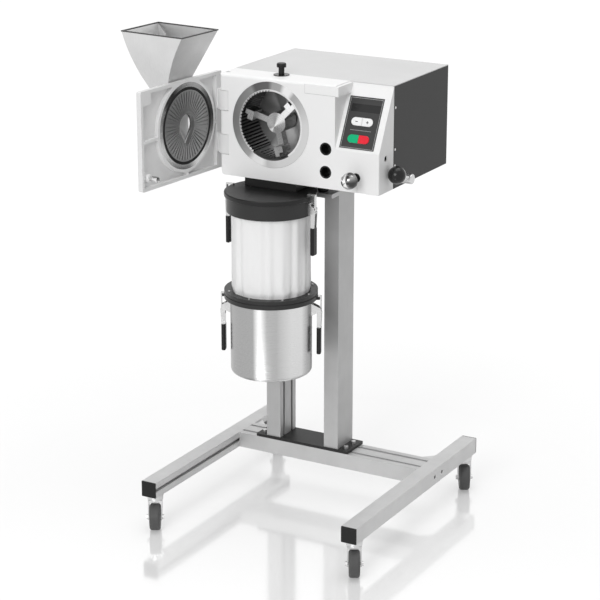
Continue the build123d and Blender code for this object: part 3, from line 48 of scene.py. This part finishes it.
# How light plays on edges and surfaces
PLASTIC_EDGE = 0.8 * MM
METAL_EDGE = 0.6 * MM
FINE_EDGE = 0.5 * MM
EDGE_SAMPLES = 4
PLASTIC_SHINE = 0.28
SIGN_SHINE = 0.3
CLOTH_SHINE = 0.2
CLOTH_SHEEN = 0.3
CLOTH_ROUGHNESS = 0.9

# Fine relief: how close its noise is, and how deep
GRAIN = 900
GRAIN_DEPTH = 0.02 * MM
BRUSH_LINES = 700
BRUSH_DEPTH = 0.012 * MM
TURNED_LINES = 1800
TURNED_STRETCH = (0.01, 0.01, 1)
FACED_RINGS = 1400
TURNED_DEPTH = 0.008 * MM
FIBRES = 2500
FELT_CLOUDS = 60
FELT_SHARE = 0.4
FIBRE_DEPTH = 0.06 * MM
SMEARS = 35
SMEAR_SPAN = (0.35, 0.7)

# Brush lines are drawn out along the axis whose scale is small
ALONG_X = (0.02, 1, 1)
ALONG_Y = (1, 0.02, 1)
ALONG_Z = (1, 1, 0.02)

# Painted shade: a fine darker line round the upper right step of the front cover, for the shade
# along its edge
STEP_MIDDLE = 109 * MM
STEP_DROP = 15 * MM
STEP_HALF = (46 * MM, 13 * MM)
STEP_SHADE_SHIFT = Vector((1.0, 0, 1.0)) * MM
STEP_SHADE_THIN = 0.4 * MM
STEP_REACH = 1 * MM
STEP_SHADE_SHARE = 0.45
STEP_SHADE_GREY = 150

# Printed lines and signs of the control panel
OUTLINE_FROM = (3.2 * MM, 3.2 * MM)
OUTLINE_TO = (4.2 * MM, 4.1 * MM)
OUTLINE_SHARE = 0.6
KEY_LINE_HALF = (31 * MM, 0.5 * MM)
KEY_LINE_SHARE = 0.45
PRINT_GREY = 225
MINUS_HALF = (3.6 * MM, 0.9 * MM)
PLUS_HALF = (1.0 * MM, 3.4 * MM)
SIGN_GREY = 52
KEY_GREY = 240
KEY_ROUGHNESS = 0.35

# Where a node takes a second finish; some are painted shade in the feed hole and bore, and painted
# light on front faces
FEED_REACH = 37 * MM
RIM_STRIP = 3.4 * MM
SCREW_RISE = 1.8 * MM
GRIP_LENGTH = 77 * MM
BALL_DIAMETER = 31 * MM
HUB_REACH = 30.9 * MM
BORE_RADIUS = 100 * MM
ROTOR_FACE = 40 * MM
FRONT_NORMAL = -0.9
BORE_NORMAL = -0.7

# Turned steel and its painted reflections, light and dark bands by direction: direction in degrees,
# edges and grey
TURNED_GREY = 168
HUB_PAINTED_REFLECTIONS = (
    (50, 0.9, 0.995, 245), (-130, 0.86, 0.99, 235),
    (-40, 0.5, 0.95, 140), (140, 0.6, 0.97, 190),
)
RING_PAINTED_REFLECTIONS = (
    (200, 0.3, 0.9, 235), (20, 0.8, 0.97, 90),
    (130, 0.93, 0.99, 80), (-60, 0.9, 0.99, 230),
)
KNOB_PAINTED_REFLECTIONS = (
    (-20, 0.5, 0.95, 70), (150, 0.4, 0.9, 252),
    (75, 0.9, 0.99, 60), (-100, 0.8, 0.97, 240),
)
CAN_PAINTED_REFLECTIONS = (
    (-70, 0.96, 0.995, 255), (-56, 0.94, 0.985, 178),
    (-22, 0.86, 0.99, 214), (25, 0.8, 1.0, 150),
)
FLANGE_PAINTED_REFLECTIONS = (
    (-30, 0.2, 0.75, 205), (62, 0.985, 0.998, 235),
    (100, 0.96, 0.985, 110), (-110, 0.95, 0.99, 225),
)

# Container: its sheet, the rounding of its foot and its rolled rim
CONTAINER_WALL = 1.5 * MM
CONTAINER_BEND = 12 * MM
RIM_SHOULDER = 0.3 * MM
RIM_CROWN = 0.8 * MM
RIM_DROP = 0.4 * MM
TURNED_SIDES = 128
SMOOTH_ANGLE = 35

# Filter bag: the tube, its folds as count, height in mm and shift, and how it is let down
BAG_RADIUS = 107.4 * MM
BAG_SIDES = 168
BAG_ROWS = 52
BAG_TUCK = 2.5 * MM
BAG_TUCK_HEIGHT = 16 * MM
BAG_HOLD = 1 * MM
BAG_CLOTH = 0.8 * MM
FOLDS = (
    (5, 0.35, 0.4), (9, 0.60, 2.1), (13, 0.80, 5.0),
    (18, 0.75, 1.3), (25, 0.55, 3.7), (34, 0.30, 0.9),
)
FOLD_GATHER = (2.3, 3.0, 1.9)
FOLD_DRIFT = 0.5
FOLD_WAVE = 2.2
CLOTH_FRAMES = 16
CLOTH_SETTINGS = {
    "vertex_group_mass": "held", "mass": 0.2, "tension_stiffness": 25,
    "compression_stiffness": 25, "shear_stiffness": 10, "bending_stiffness": 0.4,
    "use_pressure": True, "uniform_pressure_force": 0.3,
}

# Room: a floor that turns plain white away from the mill, two soft lamps and a pale world
FLOOR_SIZE = 80
FLOOR_COLOR = (0.8, 0.8, 0.8)
FLOOR_GLOW = 0.47
FLOOR_ROUGHNESS = 0.1
FLOOR_MIRROR = 0.42
WHITE_FROM = (0.9, 1.9)
WHITE_GLOW = 1.04
WORLD_LIGHT = 0.4
WORLD_WHITE = 1.0
# Each lamp: place, what it is aimed at, size and power
FRONT_LAMP = ((0.35, -4.6, 2.7), (0, 0, 0.8), (2.4, 2.2), 96)
TOP_LAMP = ((0.2, 0.4, 4.2), (0, 0, 1.0), (3.0, 3.0), 66)

# Camera of the photograph: place in metres, tilt and turn in degrees, lens in millimetres
CAMERA_PLACE = (2.69753, -4.77925, 2.36382)
CAMERA_TILT = 17.69
CAMERA_TURN = 29.42
CAMERA_LENS = 124.3
CAMERA_SENSOR = 36


# Finding places on the mill
def middle(node):
    """Centre of a node's box."""
    low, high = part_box(node)
    return (low + high) / 2


def half_span(node):
    """Half of a node's box along each axis."""
    low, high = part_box(node)
    return (high - low) / 2


# Finishes: one small class for a value, one for nodes that work together, one for a material
class Value:
    """An output in a node tree. Arithmetic on it adds Math nodes."""

    def __init__(self, owner, socket):
        self.owner = owner
        self.socket = socket

    def __add__(self, other):
        return self.owner.math("ADD", self, other)

    def __sub__(self, other):
        return self.owner.math("SUBTRACT", self, other)

    def __mul__(self, other):
        return self.owner.math("MULTIPLY", self, other)

    def __rmul__(self, other):
        return self.owner.math("MULTIPLY", other, self)

    def __truediv__(self, other):
        return self.owner.math("DIVIDE", self, other)

    def __pow__(self, other):
        return self.owner.math("POWER", self, other)


class NodeTree:
    """Nodes that feed one surface."""

    def __init__(self, tree, surface):
        self.tree = tree
        self.surface = tree.nodes[surface]

    def node(self, kind, settings=None, values=None, output=0):
        """Add a node, set it up, connect its inputs and return one of its outputs."""
        made = self.tree.nodes.new(kind)
        for name, setting in (settings or {}).items():
            setattr(made, name, setting)
        for socket, value in (values or {}).items():
            if isinstance(value, Value):
                self.tree.links.new(value.socket, made.inputs[socket])
            else:
                made.inputs[socket].default_value = value
        return Value(self, made.outputs[output])

    def feed(self, socket, value):
        """Connect a value to one of the surface's sockets."""
        self.tree.links.new(value.socket, self.surface.inputs[socket])

    def math(self, operation, first, second):
        """One Math node."""
        return self.node("ShaderNodeMath", {"operation": operation}, {0: first, 1: second})

    def spread(self, value, low, high, new_low=0.0, new_high=1.0):
        """Map a value's range onto a new one, held at its ends."""
        ends = {"From Min": low, "From Max": high, "To Min": new_low, "To Max": new_high}
        return self.node("ShaderNodeMapRange", values={"Value": value, **ends})

    def seen(self):
        """1 for what the camera sees, straight or in a mirror, and 0 for light on its way."""
        camera = self.node("ShaderNodeLightPath", output="Is Camera Ray")
        glossy = self.node("ShaderNodeLightPath", output="Is Glossy Ray")
        return self.math("MAXIMUM", camera, glossy)


class Finish(NodeTree):
    """A material with one Principled surface."""

    def __init__(self, name, color, roughness, fixed=None):
        self.material = bpy.data.materials.new(name)
        self.material.use_nodes = True
        super().__init__(self.material.node_tree, "Principled BSDF")
        self.color = (*color, 1)
        self.roughness = roughness
        self.surface.inputs["Base Color"].default_value = self.color
        self.surface.inputs["Roughness"].default_value = roughness
        for socket, value in (fixed or {}).items():
            self.surface.inputs[socket].default_value = value

    def place(self):
        """The point on the piece, in metres."""
        return self.node("ShaderNodeTexCoord", output="Object")

    def axes(self):
        """The point's x, y and z, in metres."""
        point = {"Vector": self.place()}
        return [self.node("ShaderNodeSeparateXYZ", values=point, output=axis) for axis in range(3)]

    def rectangle(self, centre, half_width, half_height):
        """1 inside an upright rectangle, as seen from the front, else 0."""
        place = self.axes()
        across = self.math("ABSOLUTE", place[0] - centre.x, 0)
        above = self.math("ABSOLUTE", place[2] - centre.z, 0)
        wide = self.math("LESS_THAN", across, half_width)
        return wide * self.math("LESS_THAN", above, half_height)

    def noise(self, scale, detail=2.0, stretch=(1, 1, 1)):
        """Noise over the piece, drawn out where stretch is small."""
        drawn = self.node("ShaderNodeMapping", values={"Vector": self.place(), "Scale": stretch})
        values = {"Vector": drawn, "Scale": scale, "Detail": detail}
        return self.node("ShaderNodeTexNoise", values=values)

    def noise_of(self, value, scale):
        """Noise along one value, such as a radius."""
        values = {"W": value, "Scale": scale, "Detail": 2.0}
        return self.node("ShaderNodeTexNoise", {"noise_dimensions": "1D"}, values)

    def mixed(self, factor, first, second):
        """Mix two colours."""
        values = {0: factor, 6: first, 7: second}
        return self.node("ShaderNodeMix", {"data_type": "RGBA"}, values, output=2)

    def tint(self, mask, color):
        """Change the base colour to another where the mask is 1."""
        self.feed("Base Color", self.mixed(mask, self.color, (*color, 1)))

    def clouded(self, scale, detail, span, darkest):
        """Let soft clouds darken the base colour a little."""
        cloud = self.spread(self.noise(scale, detail), *span)
        self.tint(cloud, tuple(darkest * level for level in self.color[:3]))

    def uneven(self, noise, below=0.05, above=0.06, span=(0.3, 0.7)):
        """Let a noise move the roughness from a little below its value to a little above."""
        low, high = self.roughness - below, self.roughness + above
        self.feed("Roughness", self.spread(noise, *span, low, high))

    def relief(self, edge, height=None, depth=0.0):
        """Round the edges a little, with a fine relief on top."""
        normal = self.node("ShaderNodeBevel", {"samples": EDGE_SAMPLES}, {"Radius": edge})
        if height is not None:
            values = {"Distance": depth, "Height": height, "Normal": normal}
            normal = self.node("ShaderNodeBump", values=values)
        self.feed("Normal", normal)


def shade(value):
    """Linear grey of a screen grey from 0 to 255."""
    level = value / 255
    linear = level / 12.92 if level <= 0.04045 else ((level + 0.055) / 1.055) ** 2.4
    return (linear, linear, linear)


def grained_plastic(name, color, roughness, grain=GRAIN, depth=GRAIN_DEPTH):
    """Moulded or powder-coated surface with a fine grain and a little unevenness."""
    finish = Finish(name, color, roughness, {"Specular IOR Level": PLASTIC_SHINE})
    height = finish.noise(grain)
    finish.relief(PLASTIC_EDGE, height, depth)
    finish.clouded(scale=6, detail=2.0, span=(0.3, 0.7), darkest=0.94)
    finish.uneven(height)
    return finish.material


def brushed_metal(name, color, roughness, stretch, lines=BRUSH_LINES, metal=1.0):
    """Metal with fine brush lines, drawn out along one axis."""
    finish = Finish(name, color, roughness, {"Metallic": metal})
    height = finish.noise(lines, detail=3.0, stretch=stretch)
    finish.relief(METAL_EDGE, height, BRUSH_DEPTH)
    finish.clouded(scale=14, detail=3.0, span=(0.35, 0.65), darkest=0.93)
    finish.uneven(height, below=0.06, above=0.08)
    return finish.material


def plated_metal(name, color, roughness):
    """Chrome or zinc plate with faint smears."""
    finish = Finish(name, color, roughness, {"Metallic": 1.0})
    finish.relief(METAL_EDGE)
    smears = finish.noise(SMEARS, detail=4.0)
    finish.uneven(smears, below=0, above=0.1, span=SMEAR_SPAN)
    return finish.material


def cloth_finish(name, color):
    """White felted filter cloth: soft, matt, with a fine fibre relief."""
    shine = {"Sheen Weight": CLOTH_SHEEN, "Specular IOR Level": CLOTH_SHINE}
    finish = Finish(name, color, CLOTH_ROUGHNESS, shine)
    height = finish.noise(FIBRES, detail=3.0) + FELT_SHARE * finish.noise(FELT_CLOUDS)
    values = {"Distance": FIBRE_DEPTH, "Height": height}
    finish.feed("Normal", finish.node("ShaderNodeBump", values=values))
    return finish.material


def cover_finish(name, color, roughness):
    """Moulded white cover, with a painted shade line round its upper right step."""
    finish = Finish(name, color, roughness, {"Specular IOR Level": PLASTIC_SHINE})
    low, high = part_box("front_cover")
    step = Vector((STEP_MIDDLE, low.y, high.z - STEP_DROP))
    half_width, half_height = STEP_HALF
    outer = finish.rectangle(step, half_width, half_height)
    inner = finish.rectangle(step + STEP_SHADE_SHIFT, half_width, half_height - STEP_SHADE_THIN)
    front = finish.math("LESS_THAN", finish.axes()[1], low.y + STEP_REACH)
    # Painted shade: the thin grey line along the step's edge
    finish.tint(STEP_SHADE_SHARE * ((outer - inner) * front), shade(STEP_SHADE_GREY))
    height = finish.noise(GRAIN)
    finish.relief(PLASTIC_EDGE, height, GRAIN_DEPTH)
    finish.uneven(height)
    return finish.material


def panel_finish(name, color, roughness):
    """Smooth dark panel with a thin light outline and a line between its two rows of keys."""
    finish = Finish(name, color, roughness, {"Specular IOR Level": PLASTIC_SHINE})
    centre = middle("panel_bezel")
    half = half_span("panel_bezel")
    outer = finish.rectangle(centre, half.x - OUTLINE_FROM[0], half.z - OUTLINE_FROM[1])
    inner = finish.rectangle(centre, half.x - OUTLINE_TO[0], half.z - OUTLINE_TO[1])
    between = (middle("start_key") + middle("plus_key")) / 2
    line = finish.rectangle(between, *KEY_LINE_HALF)
    printed = OUTLINE_SHARE * (outer - inner) + KEY_LINE_SHARE * line
    finish.tint(printed, shade(PRINT_GREY))
    finish.relief(FINE_EDGE)
    return finish.material


def sign_finish(name, node, bars):
    """White key with a minus or a plus sign, drawn as bars."""
    finish = Finish(name, shade(KEY_GREY), KEY_ROUGHNESS, {"Specular IOR Level": SIGN_SHINE})
    sign = finish.rectangle(middle(node), *bars[0])
    for bar in bars[1:]:
        sign = finish.math("MAXIMUM", sign, finish.rectangle(middle(node), *bar))
    finish.tint(sign, shade(SIGN_GREY))
    finish.relief(PLASTIC_EDGE)
    return finish.material


def steel_with_painted_bands(name, node, axes, bands, roughness):
    """Turned steel: fine lines around an axis, and painted reflections as light and dark bands
    toward given directions.
    """
    finish = Finish(name, shade(TURNED_GREY), roughness, {"Metallic": 1.0})
    centre = middle(node)
    first, second = axes
    place = finish.axes()
    across = place[first] - centre[first]
    along = place[second] - centre[second]
    radius = (across * across + along * along) ** 0.5
    color = finish.color
    # Each band paints a reflection: a lighter or darker grey on the side facing its direction
    for direction, start, end, grey in bands:
        turn = math.radians(direction)
        toward = (across * math.cos(turn) + along * math.sin(turn)) / radius
        color = finish.mixed(finish.spread(toward, start, end), color, (*shade(grey), 1))
    finish.feed("Base Color", color)
    if axes == (0, 1):
        lines = finish.noise(TURNED_LINES, stretch=TURNED_STRETCH)
    else:
        lines = finish.noise_of(radius, FACED_RINGS)
    finish.relief(FINE_EDGE, lines, TURNED_DEPTH)
    finish.uneven(lines)
    return finish.material


cover_white = cover_finish("cover_white", shade(240), 0.42)
door_white = grained_plastic("door_white", shade(232), 0.40, grain=500, depth=0.04 * MM)
top_grey = grained_plastic("top_grey", shade(212), 0.45)
side_grey = grained_plastic("side_grey", shade(50), 0.5, grain=1200, depth=0.05 * MM)
black_plastic = grained_plastic("black_plastic", shade(20), 0.38)
black_gloss = grained_plastic("black_gloss", shade(26), 0.18, depth=0.004 * MM)
black_rubber = grained_plastic("black_rubber", shade(20), 0.6)
tyre_grey = grained_plastic("tyre_grey", shade(84), 0.5)
hub_black = grained_plastic("hub_black", shade(60), 0.45)
dark_coat = grained_plastic("dark_coat", shade(26), 0.36)
ring_coat = grained_plastic("ring_coat", shade(46), 0.36)
black_plate = grained_plastic("black_plate", shade(40), 0.45)
panel_grey = panel_finish("panel_grey", shade(58), 0.35)
display_dark = grained_plastic("display_dark", shade(42), 0.12, depth=0.001 * MM)
key_green = grained_plastic("key_green", (0.0, 0.45, 0.19), 0.3, depth=0.004 * MM)
key_red = grained_plastic("key_red", (0.80, 0.02, 0.04), 0.3, depth=0.004 * MM)
key_minus = sign_finish("key_minus", "minus_key", [MINUS_HALF])
key_plus = sign_finish("key_plus", "plus_key", [MINUS_HALF, PLUS_HALF])
motor_paint = grained_plastic("motor_paint", shade(96), 0.45)
chute_dark = grained_plastic("chute_dark", shade(32), 0.4)
# Painted shade: dark grey for the chamber's bore and back wall
chamber_painted_shade = grained_plastic("chamber_painted_shade", shade(50), 0.35)
# Painted shade: grey for the walls of the door's feed hole
feed_hole_painted_shade = grained_plastic("feed_hole_painted_shade", shade(96), 0.4)
rim_dark = grained_plastic("rim_dark", shade(70), 0.35)

leg_aluminium = brushed_metal("leg_aluminium", shade(212), 0.45, ALONG_Y, metal=0.4)
bar_aluminium = brushed_metal("bar_aluminium", shade(206), 0.45, ALONG_X, metal=0.4)
post_aluminium = brushed_metal("post_aluminium", shade(192), 0.45, ALONG_Z, metal=0.4)
plate_aluminium = brushed_metal("plate_aluminium", shade(190), 0.42, ALONG_X, metal=0.5)
bag_white = cloth_finish("bag_white", shade(244))
# Turned steels with painted reflections: container, door ring, clamp knob and chamber flange
container_steel = steel_with_painted_bands("container_steel", "container", (0, 1), CAN_PAINTED_REFLECTIONS, 0.3)
ring_steel = steel_with_painted_bands("ring_steel", "door_ring", (1, 2), RING_PAINTED_REFLECTIONS, 0.25)
knob_chrome = steel_with_painted_bands("knob_chrome", "clamp_knob", (0, 2), KNOB_PAINTED_REFLECTIONS, 0.08)
flange_steel = steel_with_painted_bands("flange_steel", "rotor", (0, 2), FLANGE_PAINTED_REFLECTIONS, 0.34)
# Painted shade: dark steel for the liners and sieve inside the chamber
inner_steel_painted_shade = brushed_metal("inner_steel_painted_shade", shade(78), 0.38, ALONG_Y)
disc_steel = brushed_metal("disc_steel", shade(158), 0.36, ALONG_Z)
# Painted light: bright steel for the front faces of the liners' teeth
tooth_faces_painted_light = brushed_metal("tooth_faces_painted_light", shade(225), 0.3, ALONG_X)
# Rotor's front face: turned steel with painted reflections
hub_steel = steel_with_painted_bands("hub_steel", "rotor", (0, 2), HUB_PAINTED_REFLECTIONS, 0.28)
rotor_steel = brushed_metal("rotor_steel", shade(150), 0.3, ALONG_Y)
hopper_steel = brushed_metal("hopper_steel", shade(214), 0.5, ALONG_Z, lines=300)
chrome = plated_metal("chrome", shade(226), 0.08)
zinc = plated_metal("zinc", shade(205), 0.28)
latch_steel = plated_metal("latch_steel", shade(205), 0.2)


def dress(node, material):
    """Give a CAD node one finish."""
    mesh = nodes[node].data
    mesh.materials.clear()
    mesh.materials.append(material)


def dress_part(node, material, belongs):
    """Give another finish to the faces of a CAD node that pass a test."""
    mesh = nodes[node].data
    mesh.materials.append(material)
    index = len(mesh.materials) - 1
    for face in mesh.polygons:
        if belongs(face):
            face.material_index = index


def dress_nodes():
    """Put a finish on every CAD node."""
    plain = {
        "legs": leg_aluminium, "leg_end_caps": black_plastic, "crossbar": bar_aluminium,
        "base_plate": black_plate, "posts": post_aluminium, "support_plate": plate_aluminium,
        "machine_feet": black_rubber, "stand_fittings": zinc, "front_cover": cover_white,
        "panel_bezel": panel_grey, "display_window": display_dark, "top_cover": top_grey,
        "rear_shell": side_grey, "base_tray": side_grey, "housing_screws": zinc,
        "housing_bushes": black_gloss, "chamber_body": flange_steel, "chamber_liners": inner_steel_painted_shade,
        "bottom_sieve": inner_steel_painted_shade, "outlet_chute": chute_dark, "motor_body": motor_paint,
        "collector_lid": dark_coat, "bag_ring": ring_coat, "clamp_ring": ring_coat,
        "filter_bag": bag_white, "container": container_steel, "latch_brackets": latch_steel,
        "rotor": rotor_steel, "drive_shaft": zinc, "door_leaf": door_white,
        "door_ring": ring_steel, "door_gasket": black_rubber, "grinding_disc": disc_steel,
        "door_bolt": chrome, "hinge_arms": door_white, "feed_neck": door_white,
        "hopper": hopper_steel, "plunger_knob": black_plastic, "clamp_knob": knob_chrome,
        "lock_lever": zinc, "start_key": key_green, "stop_key": key_red,
        "minus_key": key_minus, "plus_key": key_plus,
    }
    for corner in CORNERS:
        plain["caster_fork_" + corner] = zinc
        plain["caster_wheel_" + corner] = hub_black
    for latch in LATCHES:
        plain["latch_lever_" + latch] = latch_steel
        plain["latch_hook_" + latch] = latch_steel
    for node, material in plain.items():
        dress(node, material)


def dress_moving():
    """Grips, ball and tyres in their own finishes, and the rotor face in turned steel with painted
    reflections.
    """
    for latch in LATCHES:
        node = "latch_lever_" + latch
        grip_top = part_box(node)[0].z + GRIP_LENGTH
        dress_part(node, black_plastic, lambda face, top=grip_top: face.center.z < top)
    ball_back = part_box("lock_lever")[0].y + BALL_DIAMETER
    dress_part("lock_lever", black_gloss, lambda face: face.center.y < ball_back)
    for corner in CORNERS:
        node = "caster_wheel_" + corner
        centre = middle(node)
        dress_part(node, tyre_grey, lambda face, hub=centre: (face.center - hub).length > HUB_REACH)
    face_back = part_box("front_cover")[0].y + ROTOR_FACE

    def faces_front(face):
        return face.normal.y < FRONT_NORMAL and face.center.y < face_back

    dress_part("rotor", hub_steel, faces_front)


def dress_fixed():
    """Screws and hopper rim in their own finishes, with painted shade in the feed hole and bore and
    painted light on the teeth's front faces.
    """
    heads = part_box("clamp_ring")[1].z - SCREW_RISE
    dress_part("clamp_ring", zinc, lambda face: face.center.z > heads)
    feed = middle("grinding_disc")
    # Painted shade inside the feed hole
    dress_part("door_leaf", feed_hole_painted_shade, lambda face: (face.center - feed).length < FEED_REACH)
    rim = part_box("hopper")[1].z - RIM_STRIP
    dress_part("hopper", rim_dark, lambda face: face.center.z > rim)
    axis = middle("rotor")

    def lines_bore(face):
        radius = math.hypot(face.center.x - axis.x, face.center.z - axis.z)
        return radius < BORE_RADIUS and face.normal.y > BORE_NORMAL

    # Painted shade on the faces of the bore and back wall
    dress_part("chamber_body", chamber_painted_shade, lines_bore)
    # Painted light on the teeth's front faces, the rest of the liners in painted shade
    dress_part("chamber_liners", tooth_faces_painted_light, lambda face: face.normal.y < FRONT_NORMAL)


# Pieces that take the place of plain solids
def edit_all(piece):
    """Open a new piece for editing with everything selected."""
    bpy.ops.object.select_all(action="DESELECT")
    bpy.context.view_layer.objects.active = piece
    piece.select_set(True)
    bpy.ops.object.mode_set(mode="EDIT")
    bpy.ops.mesh.select_all(action="SELECT")


def settle():
    """Leave edit mode and put the piece's place into its mesh."""
    bpy.ops.object.mode_set(mode="OBJECT")
    bpy.ops.object.transform_apply(location=True, rotation=True, scale=True)


def ring_arc(radius, height, bend, start, end, steps=6):
    """Points of a rounding in a turned section: radius and height of each."""
    turns = [math.radians(start + (end - start) * step / steps) for step in range(steps + 1)]
    return [(radius + bend * math.cos(turn), height + bend * math.sin(turn)) for turn in turns]


def turned(name, centre, section, fill="NGON", sides=TURNED_SIDES):
    """Turn a section of radius and height points about an upright axis, from its foot on."""
    radius, height = section[0]
    bpy.ops.mesh.primitive_circle_add(
        vertices=sides, radius=radius, fill_type=fill, location=(centre.x, centre.y, height)
    )
    piece = bpy.context.object
    piece.name = name
    edit_all(piece)
    for new_radius, new_height in section[1:]:
        if fill == "NGON":
            bpy.ops.mesh.extrude_region_move()
        else:
            bpy.ops.mesh.extrude_edges_move()
        bpy.ops.transform.translate(value=(0, 0, new_height - height))
        scale = new_radius / radius
        axis_point = (centre.x, centre.y, new_height)
        bpy.ops.transform.resize(value=(scale, scale, 1), center_override=axis_point)
        radius, height = new_radius, new_height
    bpy.ops.mesh.select_all(action="SELECT")
    bpy.ops.mesh.normals_make_consistent(inside=False)
    settle()
    return piece


def build_container():
    """Spun steel container with a rounded foot and a rolled rim."""
    low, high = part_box("container")
    radius = half_span("container").x
    bend = CONTAINER_BEND
    section = ring_arc(radius - bend, low.z + bend, bend, -90, 0)
    section += [
        (radius, high.z - 2 * CONTAINER_WALL),
        (radius - RIM_SHOULDER, high.z - RIM_DROP),
        (radius - RIM_CROWN, high.z),
        (radius - CONTAINER_WALL, high.z - RIM_DROP),
    ]
    section += ring_arc(radius - bend, low.z + bend, bend - CONTAINER_WALL, 0, -90)
    piece = turned("steel_container", middle("container"), section)
    piece.data.materials.append(container_steel)
    bpy.ops.object.shade_smooth_by_angle(angle=math.radians(SMOOTH_ANGLE))
    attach(piece, "stand")
    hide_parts("container")


def fold_swing(turn, share):
    """How far the bag's cloth stands in or out at a turn, from foot, 0, to top, 1."""
    at_foot, fall, rise = FOLD_GATHER
    gather = at_foot - fall * share + rise * share * share
    swing = 0
    for count, size, shift in FOLDS:
        drift = FOLD_DRIFT * math.sin(FOLD_WAVE * share + shift)
        swing += size * math.sin(count * turn + shift + drift)
    return gather * swing * MM


def fold_tube(mesh, centre, low, high):
    """Shape the bag's tube into folds, and list the points that its rings hold."""
    held = []
    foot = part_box("clamp_ring")[1].z
    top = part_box("bag_ring")[0].z
    for point in mesh.vertices:
        share = (point.co.z - low) / (high - low)
        turn = math.atan2(point.co.y - centre.y, point.co.x - centre.x)
        tuck = BAG_TUCK * max(0.0, 1 - (point.co.z - foot) / BAG_TUCK_HEIGHT) ** 2
        reach = BAG_RADIUS - min(tuck, BAG_TUCK) + fold_swing(turn, share)
        point.co.x = centre.x + reach * math.cos(turn)
        point.co.y = centre.y + reach * math.sin(turn)
        if point.co.z < foot + BAG_HOLD or point.co.z > top - BAG_HOLD:
            held.append(point.index)
    return held


def let_down(bag):
    """Let the bag's cloth fall into place between its rings."""
    cloth = bag.modifiers.new("cloth", "CLOTH")
    for name, setting in CLOTH_SETTINGS.items():
        setattr(cloth.settings, name, setting)
    cloth.collision_settings.use_collision = False
    cloth.point_cache.frame_end = CLOTH_FRAMES
    for step in range(1, CLOTH_FRAMES + 1):
        bpy.context.scene.frame_set(step)
    bpy.ops.object.modifier_apply(modifier="cloth")
    bpy.context.scene.frame_set(1)


def build_bag():
    """Filter bag: a cloth tube with upright folds, held by the rings at its two ends."""
    low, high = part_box("filter_bag")
    centre = middle("filter_bag")
    length = high.z - low.z
    section = [(BAG_RADIUS, low.z + row / BAG_ROWS * length) for row in range(BAG_ROWS + 1)]
    bag = turned("filter_bag_cloth", centre, section, fill="NOTHING", sides=BAG_SIDES)
    held = fold_tube(bag.data, centre, low.z, high.z)
    bag.vertex_groups.new(name="held").add(held, 1.0, "REPLACE")
    let_down(bag)
    thick = bag.modifiers.new("thick", "SOLIDIFY")
    thick.thickness = BAG_CLOTH
    thick.offset = -1
    bpy.ops.object.modifier_apply(modifier="thick")
    bag.data.materials.append(bag_white)
    bpy.ops.object.shade_smooth()
    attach(bag, "stand")
    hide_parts("filter_bag")


# Room: floor, lamps, world and camera
def floor_finish():
    """White floor with the mill's shadow and a soft reflection near it, plain white beyond."""
    floor = Finish("floor_white", FLOOR_COLOR, FLOOR_ROUGHNESS)
    floor.tree.nodes.remove(floor.surface)
    floor.surface = floor.tree.nodes["Material Output"]
    seen = floor.seen()
    lit = floor.node("ShaderNodeBsdfDiffuse", values={"Color": floor.color})
    glow = floor.node("ShaderNodeEmission", values={"Strength": FLOOR_GLOW})
    dark = floor.node("ShaderNodeEmission", values={"Strength": 0.0})
    shown = floor.node("ShaderNodeMixShader", values={0: seen, 1: dark, 2: glow})
    both = floor.node("ShaderNodeAddShader", values={0: lit, 1: shown})
    mirror = floor.node("ShaderNodeBsdfGlossy", values={"Roughness": FLOOR_ROUGHNESS})
    gloss = floor.node("ShaderNodeMixShader", values={0: FLOOR_MIRROR, 1: both, 2: mirror})
    x, y, _ = floor.axes()
    far = floor.spread((x * x + y * y) ** 0.5, *WHITE_FROM) * seen
    white = floor.node("ShaderNodeEmission", values={"Strength": WHITE_GLOW})
    floor.feed("Surface", floor.node("ShaderNodeMixShader", values={0: far, 1: gloss, 2: white}))
    return floor.material


def build_floor():
    """Pale floor far past the view."""
    bpy.ops.mesh.primitive_plane_add(size=FLOOR_SIZE, location=(0, 0, 0))
    floor = bpy.context.object
    floor.name = "floor"
    floor.data.materials.append(floor_finish())


def soft_lamp(name, place, target, size, power):
    """Rectangular soft lamp aimed at a point."""
    bpy.ops.object.light_add(type="AREA", location=place)
    lamp = bpy.context.object
    lamp.name = name
    lamp.data.shape = "RECTANGLE"
    lamp.data.size, lamp.data.size_y = size
    lamp.data.energy = power
    lamp.rotation_euler = (Vector(target) - Vector(place)).to_track_quat("-Z", "Y").to_euler()


def build_light():
    """Soft studio light, strongest on the front and the top, in a world that is seen white."""
    world = bpy.data.worlds.new("studio")
    bpy.context.scene.world = world
    world.use_nodes = True
    studio = NodeTree(world.node_tree, "Background")
    studio.surface.inputs["Color"].default_value = (1, 1, 1, 1)
    studio.feed("Strength", studio.spread(studio.seen(), 0.0, 1.0, WORLD_LIGHT, WORLD_WHITE))
    soft_lamp("front_lamp", *FRONT_LAMP)
    soft_lamp("top_lamp", *TOP_LAMP)


def build_camera():
    """Camera at the photograph's viewpoint."""
    camera = bpy.data.cameras.new("camera")
    camera.lens = CAMERA_LENS
    camera.sensor_width = CAMERA_SENSOR
    viewer = bpy.data.objects.new("camera", camera)
    viewer.location = CAMERA_PLACE
    viewer.rotation_euler = (math.radians(90 - CAMERA_TILT), 0, math.radians(CAMERA_TURN))
    bpy.context.scene.collection.objects.link(viewer)
    bpy.context.scene.camera = viewer


dress_nodes()
dress_moving()
dress_fixed()
build_container()
build_bag()
build_floor()
build_light()
build_camera()
bpy.context.scene.view_settings.view_transform = "Standard"
